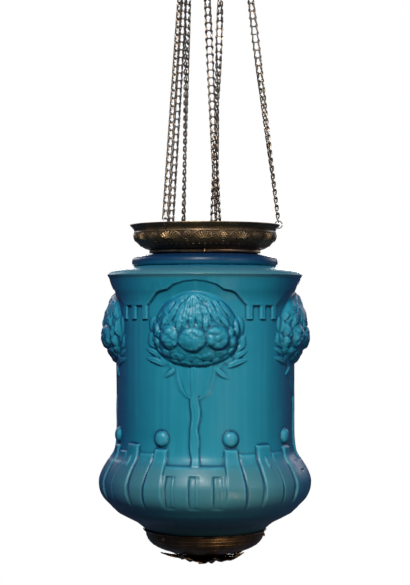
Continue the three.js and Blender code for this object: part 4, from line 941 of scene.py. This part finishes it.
def gallery_bowl(material, columns=1080):
    """The bowl with its pressed ornament and an open lip."""
    outside = curve_through(BOWL_OUTSIDE, 6)
    down = lengths_along(outside)
    angle = np.linspace(0, 360, columns, endpoint=False)
    repeat = 360 / GALLERY_UNITS
    relief = gallery_relief(*np.meshgrid((angle + repeat / 2) % repeat - repeat / 2, down))
    rows = [(r + raised - 0.2 * (s > 7), h) for (r, h), raised, s in zip(outside, relief, down)]
    marks = [0.9, 0.75, *(0.22 + 0.56 * relief[2:]), *[0.35] * len(BOWL_INSIDE)]
    turn = np.radians(angle)
    return ring_piece("gallery_bowl_ornament", rows + [*BOWL_INSIDE], marks, turn, material, 50)


# Cup, leaf rosette and finial

CUP_OUTSIDE = (
    (CUP_LIP_RADIUS, CUP_LIP), (77.4, -385.0), (75.4, -386.2), (74.8, -389.0), (73.6, -392.8),
    (71.6, -396.8), (68.6, -400.2), (64.8, -403.2), (59.6, -406.0), (52.4, -408.9),
    (43.9, -411.0), (32.0, -412.4), (19.6, CUP_BOTTOM),
)
CUP_INSIDE = (
    (3.3, CUP_BOTTOM), (3.3, -411.8), (19.6, -411.8), (43.6, -409.8), (58.9, -404.9),
    (67.4, -399.4), (72.2, -392.4), (73.8, -386.6), (75.0, -384.6), (77.6, -383.2),
)

# The cup's underside that the leaves stay clear of: radius, height
LEAF_CEILING = ((0, -413.4), (19.6, -413.4), (43.9, -411.5), (59.6, -406.6))


def turned_cup(material, columns=240):
    """The cup with the fine lines of its turning and a rolled lip."""
    outside = curve_through(CUP_OUTSIDE, 9)
    down = lengths_along(outside)
    line = (waves(down, 4.6, 4) + 0.5 * waves(down, 2.9, 6)) * smooth(down, 3.5, 6.0)
    rows = [(r + 0.35 * rise, h) for (r, h), rise in zip(outside, line)]
    marks = [*(0.3 + 0.5 * line + 0.7 * smooth(down, 2.2, 0.4)), *[0.4] * len(CUP_INSIDE)]
    turn = np.linspace(0, 2 * np.pi, columns, endpoint=False)
    return ring_piece("turned_cup", rows + [*CUP_INSIDE], marks, turn, material, 40)


def cut_leaf(number):
    """One leaf of thin brass: a lobed sheet with veins, bent down and curled at its tip."""
    chance = np.random.default_rng(40 + number)
    droop, curl = chance.uniform(0.0, 3.6), chance.uniform(0.0, 6.0)
    twist = chance.uniform(-2.2, 2.2)
    t, s = np.meshgrid(np.linspace(0, 1, 34), np.linspace(-1, 1, 19), indexing="ij")
    lobes = 1 + 0.2 * np.cos(2 * np.pi * 3.5 * t) * smooth(t, 0.2, 0.4)
    width = (2.2 + 12.0 * np.sin(np.pi * t ** 0.8) ** 0.8) * lobes * smooth(t, 1.04, 0.9)
    reach = 8 + (LEAF_REACH - 8) * t - 3.0 * np.abs(s) * np.sin(np.pi * t)
    across = s * width + 2.0 * twist * t ** 2
    height = ROSETTE_TOP - 1.2 - (2.4 + droop) * np.sin(np.pi * t ** 1.3)
    height = height + (1.0 + curl) * smooth(t, 0.5, 1.05)
    height = height - 1.4 * np.cos(2 * np.pi * s) * np.sin(np.pi * t) - 1.2 * twist * s * t
    vein = ridge(s, 0.09) + 0.6 * waves(5 * t - 0.9 * np.abs(s), 1, 6)
    top = np.minimum(height, np.interp(np.hypot(reach, across), *np.array(LEAF_CEILING).T))
    bottom = np.minimum(height - 0.8 - 0.5 * vein, top - 0.5)
    points = [np.column_stack([reach.ravel(), across.ravel(), z.ravel()]) for z in (top, bottom)]
    quads = np.array(band_faces(*t.shape, wrap_columns=False))
    corner = np.arange(t.size).reshape(t.shape)
    edge = [corner[:, 0], corner[-1, 1:], corner[-2::-1, -1], corner[0, -2:0:-1]]
    edge = np.concatenate(edge)
    ahead = np.roll(edge, -1)
    sides = np.column_stack([edge, ahead, ahead + t.size, edge + t.size])
    faces = np.concatenate([quads[:, ::-1], quads + t.size, sides]).tolist()
    under = (0.35 + 0.5 * vein + 0.3 * np.abs(s) ** 6).ravel()
    return np.concatenate(points), faces, np.concatenate([np.full(t.size, 0.4), under])


def leaf_rosette(material):
    """Eight leaves cut from sheet round a small hub under the cup."""
    parts, marks = [], []
    for k in range(LEAF_COUNT):
        points, faces, shine = cut_leaf(k)
        parts.append((spun(points, LEAF_TURN + 360 / LEAF_COUNT * k), faces))
        marks.append(shine)
    foot = ROSETTE_TOP - 4.2
    hub = [(3.3, ROSETTE_TOP), (13, ROSETTE_TOP), (12.4, ROSETTE_TOP - 1.6), (10, foot),
           (3.3, foot), (3.3, ROSETTE_TOP)]
    points, faces = turned(rounded(hub, 0.5)[:-1], 48, closed=True)
    parts.append((points, faces))
    marks.append(np.full(len(points), 0.5))
    vertices, faces = gather(parts)
    vertices = vertices - (0, 0, RIM_DROP)
    return make_object("cut_leaf_rosette", vertices, faces, material, np.concatenate(marks), 50)


def slab(x, y, z):
    """Points and faces of a block between three pairs of limits."""
    corners = np.array([(a, b, c) for a in x for b in y for c in z], float)
    faces = [[0, 1, 3, 2], [4, 6, 7, 5], [0, 4, 5, 1], [2, 3, 7, 6], [0, 2, 6, 4], [1, 5, 7, 3]]
    return corners, faces


def cut_with(made, cutter):
    """Cuts the cutter out of the piece and drops the cutter."""
    modifier = made.modifiers.new("cut", "BOOLEAN")
    modifier.operation = "DIFFERENCE"
    modifier.solver = "EXACT"
    modifier.object = cutter
    graph = bpy.context.evaluated_depsgraph_get()
    result = bpy.data.meshes.new_from_object(made.evaluated_get(graph))
    made.modifiers.clear()
    old = made.data
    made.data = result
    bpy.data.meshes.remove(old)
    bpy.data.objects.remove(cutter)


def slotted_screw(name, seat, tip, angle, height, material):
    """A cheese-head screw that lies along a radius, with a cut slot in its head."""
    top = seat + 2.0
    profile = [(0, tip), (1.2, tip), (1.2, seat), (2.0, seat), (1.9, top - 0.4), (0, top)]
    vertices, faces = turned(rounded(profile, 0.3), 24)
    made = make_object(name, vertices, faces, material, np.full(len(vertices), 0.9))
    weld(made)
    made.data.transform(Matrix.Rotation(math.radians(90), 4, "Y"))
    slot = slab((top - 0.8, top + 1), (-3, 3), (-0.3, 0.3))
    cut_with(made, make_object(name + "_slot", *slot, material))
    made.data.transform(Matrix.Rotation(math.radians(angle), 4, "Z"))
    made.data.transform(Matrix.Translation((0, 0, (height - RIM_DROP) * MM)))
    return made


# Ladder chain. A rung is its place, the way of the chain and the way across.


def unit(vector):
    return vector / np.linalg.norm(vector)


def chain_places():
    """Points shared by chains, pulleys and rings, in the first chain's own plane."""
    skew = math.radians(PULLEY_SKEW)
    outwards = np.array([math.cos(skew), -math.sin(skew), 0.0])
    axle = np.array([math.sin(skew), math.cos(skew), 0.0])
    outer = np.array([CHAIN_TOP_RADIUS, 0.0, -AXLE_DROP])
    middle = outer - outwards * PULLEY_RADIUS
    inner = outer - outwards * 2 * PULLEY_RADIUS
    lean = math.radians(RIM_RING_LEAN)
    lip = np.array([(RIM_RADIUS + BOWL_RADIUS) / 2, 0.0, -RIM_DROP - LIP_HEIGHT / 2])
    rim_ring = lip + RING_RADIUS * np.array([math.cos(lean), 0.0, math.sin(lean)])
    hook_height = -RIM_DROP + CARRIER_HEIGHT + 4 + RING_RADIUS
    lamp_ring = polar(LAMP_HOOK_RADIUS, LAMP_HOOK_TURN, hook_height)
    to_rung = np.array([0.0, 0.0, RING_RADIUS - RING_WIRE - SEAT_GAP])
    return {
        "axle": axle, "outwards": outwards, "middle": middle, "outer": outer, "inner": inner,
        "rim_ring": rim_ring, "rim_end": rim_ring + to_rung,
        "lamp_ring": lamp_ring, "lamp_end": lamp_ring + to_rung,
    }


WRAP_RUNGS = round(math.pi * PULLEY_RADIUS / CHAIN_PITCH - 0.5)
WRAP_STEP = math.radians(180 / (WRAP_RUNGS + 0.5))
FIRST_BELOW = WRAP_STEP * PULLEY_RADIUS / 4


def straight_rungs(start, end, first_turn, last_turn):
    """Rungs from start to end that turn from one angle to another on the way."""
    along = end - start
    spaces = round(np.linalg.norm(along) / CHAIN_PITCH)
    way = unit(along)
    rungs = []
    for k in range(spaces + 1):
        t = k / spaces
        turn = math.radians(first_turn + (last_turn - first_turn) * (1 - (1 - t) ** 2))
        level = np.array([math.cos(turn), math.sin(turn), 0.0])
        rungs.append((start + along * t, way, unit(level - way * level.dot(way))))
    return rungs


def wrap_rungs(places):
    """Rungs that lie on the pulley."""
    rungs = []
    for k in range(WRAP_RUNGS):
        angle = WRAP_STEP * (k + 0.75)
        at = places["middle"] + places["outwards"] * PULLEY_RADIUS * math.cos(angle)
        at = at + np.array([0, 0, PULLEY_RADIUS * math.sin(angle)])
        way = -places["outwards"] * math.sin(angle) + np.array([0, 0, math.cos(angle)])
        rungs.append((at, way, places["axle"]))
    return rungs


def bent_link(rung, following, wire, hook):
    """One link: a rung whose two legs flare, narrow and hook round the next rung."""
    at, way, across = rung
    goal, next_way, next_across = following
    pitch = np.linalg.norm(goal - at)
    bight = pitch + wire * 1.02 - hook
    # half a link: to the side, along the chain, and up from its plane
    leg = [
        (CHAIN_FLARE - 1.0, 0.0, 0.0), (CHAIN_FLARE - 0.25, 0.25, 0.0),
        (CHAIN_FLARE + 0.05, 1.2, 0.1), (3.75, 3.2, 0.45 * hook), (3.15, 6.0, 0.85 * hook),
        (CHAIN_WAIST, bight, hook),
    ]
    for turn in (35, 70, 105, 140, 180):
        a = math.radians(turn)
        leg.append((CHAIN_WAIST, bight + hook * math.sin(a), hook * math.cos(a)))
    leg += [(3.05, 7.0, -0.8 * hook), (3.35, 5.0, -0.3 * hook)]
    points = []
    for x, s, n in [(-x, s, n) for x, s, n in reversed(leg)] + leg:
        t = s / pitch
        centre = at + (goal - at) * t
        forward = unit(way + (next_way - way) * min(t, 1.0))
        side = across + (next_across - across) * t
        side = unit(side - forward * side.dot(forward))
        points.append(centre + side * x + np.cross(side, forward) * n)
    return tube(points, wire / 2)


def end_rung(rung, wire):
    at, _, across = rung
    return tube([at + across * x for x in (-CHAIN_FLARE, 0.0, CHAIN_FLARE)], wire / 2)


def chain_strands(number, wire, hook):
    """The three stretches of one chain, as (points, faces): outside, over the pulley, inside."""
    places = chain_places()
    outside_turns, inside_turns = HALF_TURNS[number]
    axle_turn = 90 - PULLEY_SKEW
    rim_turn = 90 + 180 * outside_turns
    lamp_turn = LAMP_HOOK_TURN + 90 + 180 * inside_turns
    below_axle = np.array([0, 0, -FIRST_BELOW])
    outside = straight_rungs(
        places["outer"] + below_axle, places["rim_end"], axle_turn, rim_turn
    )
    outside = [(at, -way, across) for at, way, across in reversed(outside)]
    over = wrap_rungs(places)
    inside = straight_rungs(
        places["inner"] + below_axle, places["lamp_end"], axle_turn, lamp_turn
    )
    whole = []
    for rungs, following in ((outside, over[:1]), (over, inside[:1]), (inside, [])):
        targets = rungs[1:] + following
        links = [bent_link(rung, goal, wire, hook) for rung, goal in zip(rungs, targets)]
        if not following:
            links.append(end_rung(rungs[-1], wire))
        points, faces = gather(links)
        whole.append((spun(points, CHAIN_ANGLES[number]), faces))
    return whole


def open_ring(centre, angle):
    """A bent-wire ring with a narrow slit, standing upright at an angle."""
    turns = np.radians(np.linspace(8, 352, 33))
    path = RING_RADIUS * np.column_stack([np.cos(turns), np.zeros(33), np.sin(turns)])
    points, faces = tube(path, RING_WIRE / 2, 8)
    return spun(points, angle) + centre, faces


# Settings


class GlassSettings(bpy.types.PropertyGroup):
    columns_per_tree: IntProperty(
        name="Columns", description="Mesh columns in a quarter of the shade", default=180
    )
    row_step: FloatProperty(
        name="Row step", description="Millimetres between mesh rows on the trees", default=0.85
    )
    roughness: FloatProperty(
        name="Satin", description="Roughness of the glass's skin",
        default=0.38, min=0, max=1, subtype="FACTOR",
    )
    gloss: FloatProperty(
        name="Gloss", description="Strength of the skin's shine",
        default=0.22, min=0, max=1, subtype="FACTOR",
    )
    # how dark the painted shade in the hollows is
    hollow_depth: FloatProperty(
        name="Hollows", description="How dark the hollows are",
        default=0.82, min=0, max=1, subtype="FACTOR",
    )
    # how strong the painted shade at a slant is
    depth: FloatProperty(
        name="Depth", description="How far the glass turns navy at a slant",
        default=0.85, min=0, max=1, subtype="FACTOR",
    )
    # colour of the painted shade in the hollows and under the bulge
    deep: FloatVectorProperty(
        name="Deep blue", description="Colour in the hollows",
        default=(0.0012, 0.02, 0.055), subtype="COLOR",
    )
    clear: FloatVectorProperty(
        name="Clear blue", description="Colour of the plain wall",
        default=(0.008, 0.15, 0.205), subtype="COLOR",
    )
    # colour of the painted shade at a slant and on the roll
    navy: FloatVectorProperty(
        name="Navy", description="Colour of the glass seen at a slant",
        default=(0.003, 0.03, 0.1), subtype="COLOR",
    )
    # colour of the painted sheen; a dark copy of it is the painted shade on the foot
    painted_sheen: FloatVectorProperty(
        name="Painted sheen blue", description="Colour of the painted sheen, darkened for the painted shade on the foot",
        default=(0.036, 0.115, 0.13), subtype="COLOR",
    )
    # colour of the vertical streaks, and of the painted highlight on raised edges
    streak_and_highlight: FloatVectorProperty(
        name="Streak and highlight blue", description="Colour of streaks and of the painted highlight on raised edges",
        default=(0.04, 0.235, 0.3), subtype="COLOR",
    )


class MetalSettings(bpy.types.PropertyGroup):
    patina: FloatVectorProperty(
        name="Patina", description="Dark brass", default=(0.095, 0.056, 0.024), subtype="COLOR"
    )
    rubbed: FloatVectorProperty(
        name="Rubbed brass", description="Brass on worn edges",
        default=(0.6, 0.37, 0.15), subtype="COLOR",
    )
    copper: FloatVectorProperty(
        name="Coppery brass", description="Plain brass of collar and screws",
        default=(0.33, 0.19, 0.1), subtype="COLOR",
    )
    wear: FloatProperty(
        name="Wear", description="How much brass shows through",
        default=0.75, min=0, max=1, subtype="FACTOR",
    )


class ChainSettings(bpy.types.PropertyGroup):
    wire: FloatProperty(
        name="Wire", description="Thickness of the wire", default=0.0019, unit="LENGTH"
    )
    hook: FloatProperty(
        name="Hook", description="Radius of a link's hook", default=0.0017, unit="LENGTH"
    )
    bronze: FloatVectorProperty(
        name="Bronze", description="Colour of the chains",
        default=(0.022, 0.013, 0.008), subtype="COLOR",
    )


class StageSettings(bpy.types.PropertyGroup):
    distance: FloatProperty(
        name="Distance", description="Camera to the lantern's axis", default=1.968, unit="LENGTH"
    )
    height: FloatProperty(
        name="Height", description="Camera's height", default=-0.4572, unit="LENGTH"
    )
    lens: FloatProperty(name="Lens", description="Focal length in millimetres", default=95.4)
    tilt: FloatProperty(
        name="Tilt", description="Camera's upward tilt", default=math.radians(0.5), subtype="ANGLE"
    )
    aim: FloatProperty(
        name="Aim", description="Camera's sideways place", default=0.0, unit="LENGTH"
    )
    floor: FloatProperty(
        name="Floor", description="Height of the floor", default=-2.1, unit="LENGTH"
    )
    paper: FloatVectorProperty(
        name="Paper", description="Colour of the floor", default=(0.9, 0.9, 0.9), subtype="COLOR"
    )


class LanternSettings(bpy.types.PropertyGroup):
    glass: PointerProperty(type=GlassSettings)
    metal: PointerProperty(type=MetalSettings)
    chain: PointerProperty(type=ChainSettings)
    stage: PointerProperty(type=StageSettings)


def material_of(name):
    """A finish by its name, made from the settings when it is first asked for."""
    if name in bpy.data.materials:
        return bpy.data.materials[name]
    settings = bpy.context.scene.lantern
    metal = settings.metal
    # dark and bright colour, wear, roughness, metallic share, rubbed in even patches
    brasses = {
        "patinated_brass": (metal.patina, metal.rubbed, metal.wear, 0.42, 0.65, False),
        "coppery_brass": (metal.copper, metal.rubbed, 0.9, 0.36, 0.9, False),
        "chain_bronze": (settings.chain.bronze, metal.copper, 0.3, 0.55, 0.35, False),
        "plain_brass": (metal.copper, metal.rubbed, 0.8, 0.4, 0.9, True),
        "dark_plain_brass": (metal.patina, metal.copper, 0.8, 0.45, 0.9, True),
        "turned_dark_brass": (metal.patina, metal.copper, 0.7, 0.4, 0.9, False),
    }
    if name in brasses:
        return brass(name, *brasses[name])
    if name == "satin_blue_glass":
        return satin_glass(settings.glass)
    return clear_glass() if name == "clear_lamp_glass" else cotton_weave()


def settle(made, body, node):
    """Rides a piece on its body and lets it stand for its node."""
    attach(made, body)
    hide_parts(node)


# Operators


class LANTERN_OT_stage(bpy.types.Operator):
    """Set up the floor, the light and the camera"""

    bl_idname = "lantern.stage"
    bl_label = "Stage"

    def execute(self, context):
        settings = context.scene.lantern.stage
        scene = context.scene
        camera = bpy.data.objects.new("camera", bpy.data.cameras.new("camera"))
        scene.collection.objects.link(camera)
        camera.data.lens = settings.lens
        camera.data.sensor_width = 36
        camera.location = (settings.aim, -settings.distance, settings.height)
        camera.rotation_euler = (math.radians(90) + settings.tilt, 0, 0)
        camera.data.clip_end = 50
        scene.camera = camera
        paper_floor(settings)
        pale_room()
        lights()
        scene.view_settings.view_transform = "Standard"
        return {"FINISHED"}


def paper_floor(settings):
    """A round pale floor that turns up a little at its edge and isn't mirrored in the glass."""
    reach = [(0, 0), (1.0, 0), (2.4, 0), (3.0, 0.01), (3.3, 0.05), (3.5, 0.16), (3.6, 0.34)]
    profile = [(r / MM, (settings.floor + h) / MM) for r, h in reach]
    vertices, faces = turned(curve_through(profile, 6), 96)
    paper = make_object("paper_floor", vertices, faces, pale_paper(settings.paper))
    weld(paper)
    paper.visible_diffuse = False
    paper.visible_glossy = False


def pale_room():
    """A room that looks pale to the camera and lights the lantern only a little."""
    world = bpy.data.worlds.new("studio")
    bpy.context.scene.world = world
    world.use_nodes = True
    nodes, links = world.node_tree.nodes, world.node_tree.links
    sky = nodes["Background"]
    sky.inputs["Color"].default_value = (0.42, 0.6, 1.0, 1.0)
    sky.inputs["Strength"].default_value = 0.13
    paper = nodes.new("ShaderNodeBackground")
    paper.inputs["Color"].default_value = (1.0, 1.0, 1.0, 1.0)
    mix = nodes.new("ShaderNodeMixShader")
    links.new(nodes.new("ShaderNodeLightPath").outputs["Is Camera Ray"], mix.inputs["Fac"])
    links.new(sky.outputs["Background"], mix.inputs[1])
    links.new(paper.outputs["Background"], mix.inputs[2])
    links.new(mix.outputs["Shader"], nodes["World Output"].inputs["Surface"])


def area_light(name, place, target, size, power, spread, colour=(1, 1, 1), height=None):
    """A soft light of a size in metres and a power in watts, aimed at its target."""
    data = bpy.data.lights.new(name, "AREA")
    data.energy = power
    data.color = colour
    data.size = size
    data.spread = math.radians(spread)
    if height:
        data.shape = "RECTANGLE"
        data.size_y = height
    made = bpy.data.objects.new(name, data)
    made.location = place
    made.rotation_mode = "QUATERNION"
    made.rotation_quaternion = (Vector(target) - Vector(place)).to_track_quat("-Z", "Y")
    made.visible_camera = False
    bpy.context.scene.collection.objects.link(made)


def lights():
    """A key from the front, blue light from the sides, and soft light behind and below."""
    middle, cup = (0, 0, -0.52), (0, 0, -0.8)
    blue, warm = (0.22, 0.42, 1.0), (1.0, 0.74, 0.5)
    area_light("key", (-0.35, -2.0, 1.15), middle, 0.5, 6.7, 45)
    area_light("window", (1.7, -1.5, 0.3), middle, 0.3, 1.3, 60, height=0.9)
    area_light("sky_left", (-1.9, -0.6, 0.0), middle, 0.8, 0.5, 70, blue, height=1.2)
    area_light("sky_right", (1.9, -0.6, 0.0), middle, 0.8, 0.5, 70, blue, height=1.2)
    area_light("back_left", (-1.3, 2.0, 0.5), middle, 0.8, 1.1, 60)
    area_light("back_right", (1.5, 1.8, 0.2), middle, 0.8, 0.9, 60)
    area_light("back", (0.1, 2.3, -0.1), middle, 1.0, 4.4, 50)
    area_light("floor_wash", (0, 0.2, -1.0), (0, 0.2, -2.0), 6.0, 190.0, 170)
    area_light("low_warm", (0.8, -1.5, -1.25), cup, 0.4, 0.5, 30, warm)


class LANTERN_OT_glass(bpy.types.Operator):
    """Make the embossed glass shade"""

    bl_idname = "lantern.glass"
    bl_label = "Glass Shade"

    def execute(self, context):
        made = embossed_glass(context.scene.lantern.glass, material_of("satin_blue_glass"))
        settle(made, LANTERN, "glass_shade")
        return {"FINISHED"}


class LANTERN_OT_gallery(bpy.types.Operator):
    """Make the brass gallery, its collar and the screws in it"""

    bl_idname = "lantern.gallery"
    bl_label = "Gallery"

    def execute(self, context):
        bowl = gallery_bowl(material_of("patinated_brass"))
        settle(bowl, LANTERN, "gallery_bowl")
        copper = material_of("coppery_brass")
        top = -BOWL_DEPTH - SEAT_GAP
        foot = top - COLLAR_HEIGHT
        profile = [(COLLAR_BORE, top), (COLLAR_RADIUS, top), (COLLAR_RADIUS + 0.5, top - 2.0),
                   (COLLAR_RADIUS, foot), (COLLAR_BORE, foot)]
        collar = turned_piece("collar_band", profile, copper, 180, 0.8, closed=True)
        settle(collar, LANTERN, "gallery_collar")
        for k, angle in enumerate(threefold(GALLERY_SCREW_ANGLE), 1):
            screw = slotted_screw(
                f"gallery_screw_head_{k}", COLLAR_RADIUS + 0.9, GALLERY_SCREW_TIP, angle,
                GALLERY_SCREW_HEIGHT, copper,
            )
            settle(screw, LANTERN, f"gallery_screw_{k}")
        return {"FINISHED"}


class LANTERN_OT_cup(bpy.types.Operator):
    """Make the cup under the glass with its screws, leaves and finial"""

    bl_idname = "lantern.cup"
    bl_label = "Cup and Leaves"

    def execute(self, context):
        dark, copper = material_of("turned_dark_brass"), material_of("coppery_brass")
        settle(turned_cup(dark), LANTERN, "bottom_cup")
        settle(leaf_rosette(dark), LANTERN, "leaf_rosette")
        profile = [(0, BOLT_TOP), (BOLT_RADIUS, BOLT_TOP), (BOLT_RADIUS, FINIAL_HEAD),
                   (5.0, FINIAL_HEAD), (6.5, FINIAL_HEAD - 1.8), (5.8, FINIAL_HEAD - 3.9),
                   (3.4, FINIAL_END + 0.4), (0, FINIAL_END)]
        knob = turned_piece("finial_knob", profile, dark, 48, 0.7)
        settle(knob, LANTERN, "finial_bolt")
        for k, angle in enumerate(threefold(CUP_SCREW_ANGLE), 1):
            screw = slotted_screw(
                f"cup_screw_head_{k}", CUP_SCREW_SEAT, CUP_SCREW_TIP, angle, CUP_SCREW_HEIGHT,
                copper,
            )
            settle(screw, LANTERN, f"cup_screw_{k}")
        return {"FINISHED"}


class LANTERN_OT_chains(bpy.types.Operator):
    """Make the ladder chains, their rings and the pulleys' links"""

    bl_idname = "lantern.chains"
    bl_label = "Chains"

    def execute(self, context):
        settings = context.scene.lantern.chain
        bronze = material_of("chain_bronze")
        places = chain_places()
        # name, node, body at the far end, and where the stretch to it ends
        strands = (
            ("outer", "outer_chain", LANTERN, OUTER_STRETCH_END),
            ("wrap", "chain_over_pulley", None, None),
            ("inner", "inner_chain", LAMP, INNER_STRETCH_END),
        )
        for k, angle in enumerate(CHAIN_ANGLES, 1):
            shapes = chain_strands(k - 1, settings.wire / MM, settings.hook / MM)
            for (name, node, body, end), (points, faces) in zip(strands, shapes):
                marks = np.full(len(points), 0.5)
                made = make_object(f"{name}_links_{k}", points, faces, bronze, marks, 60)
                if body:
                    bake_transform(made)
                else:
                    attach(made, CEILING)
                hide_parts(f"{node}_{k}")
            for name, turn, body in (("rim", 0.0, LANTERN), ("lamp", LAMP_HOOK_TURN, LAMP)):
                spot = spun([places[f"{name}_ring"]], angle)[0]
                points, faces = open_ring(spot, angle + turn)
                marks = np.full(len(points), 0.6)
                made = make_object(f"{name}_wire_ring_{k}", points, faces, bronze, marks, 60)
                settle(made, body, f"{name}_ring_{k}")
        return {"FINISHED"}


# CAD nodes whose shape is right as it is, and their finishes
PLAIN_FINISHES = {
    "ceiling_plate": "dark_plain_brass", "finial_nut": "plain_brass",
    "lamp_carrier": "plain_brass", "oil_font": "plain_brass", "burner": "plain_brass",
    "wick_knob": "plain_brass", "wick": "cotton_weave", "lamp_chimney": "clear_lamp_glass",
}
PULLEY_FINISHES = {
    "pulley_fork": "dark_plain_brass", "pulley_wheel": "plain_brass", "pulley_pin": "plain_brass",
}


class LANTERN_OT_finishes(bpy.types.Operator):
    """Give ceiling plate, pulleys and oil lamp their finishes"""

    bl_idname = "lantern.finishes"
    bl_label = "Ceiling, Pulley and Lamp Finishes"

    def execute(self, context):
        finishes = dict(PLAIN_FINISHES)
        for name, finish in PULLEY_FINISHES.items():
            finishes.update({f"{name}_{k}": finish for k in (1, 2, 3)})
        for name, finish in finishes.items():
            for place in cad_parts[name].material_slots:
                place.material = material_of(finish)
        return {"FINISHED"}


class LANTERN_PT_panel(bpy.types.Panel):
    """Lists the lantern's pieces"""

    bl_label = "Hall Lantern"
    bl_idname = "LANTERN_PT_panel"
    bl_space_type = "VIEW_3D"
    bl_region_type = "UI"
    bl_category = "Lantern"

    def draw(self, context):
        for operator in OPERATORS:
            self.layout.operator(operator.bl_idname)


OPERATORS = (
    LANTERN_OT_stage,
    LANTERN_OT_glass,
    LANTERN_OT_gallery,
    LANTERN_OT_cup,
    LANTERN_OT_chains,
    LANTERN_OT_finishes,
)
GROUPS = (GlassSettings, MetalSettings, ChainSettings, StageSettings, LanternSettings)
CLASSES = (*GROUPS, *OPERATORS, LANTERN_PT_panel)


def register():
    for each in CLASSES:
        bpy.utils.register_class(each)
    bpy.types.Scene.lantern = PointerProperty(type=LanternSettings)


def unregister():
    del bpy.types.Scene.lantern
    for each in reversed(CLASSES):
        bpy.utils.unregister_class(each)


def main():
    register()
    bpy.ops.lantern.stage()
    bpy.ops.lantern.glass()
    bpy.ops.lantern.gallery()
    bpy.ops.lantern.cup()
    bpy.ops.lantern.chains()
    bpy.ops.lantern.finishes()


if __name__ == "__main__":
    main()
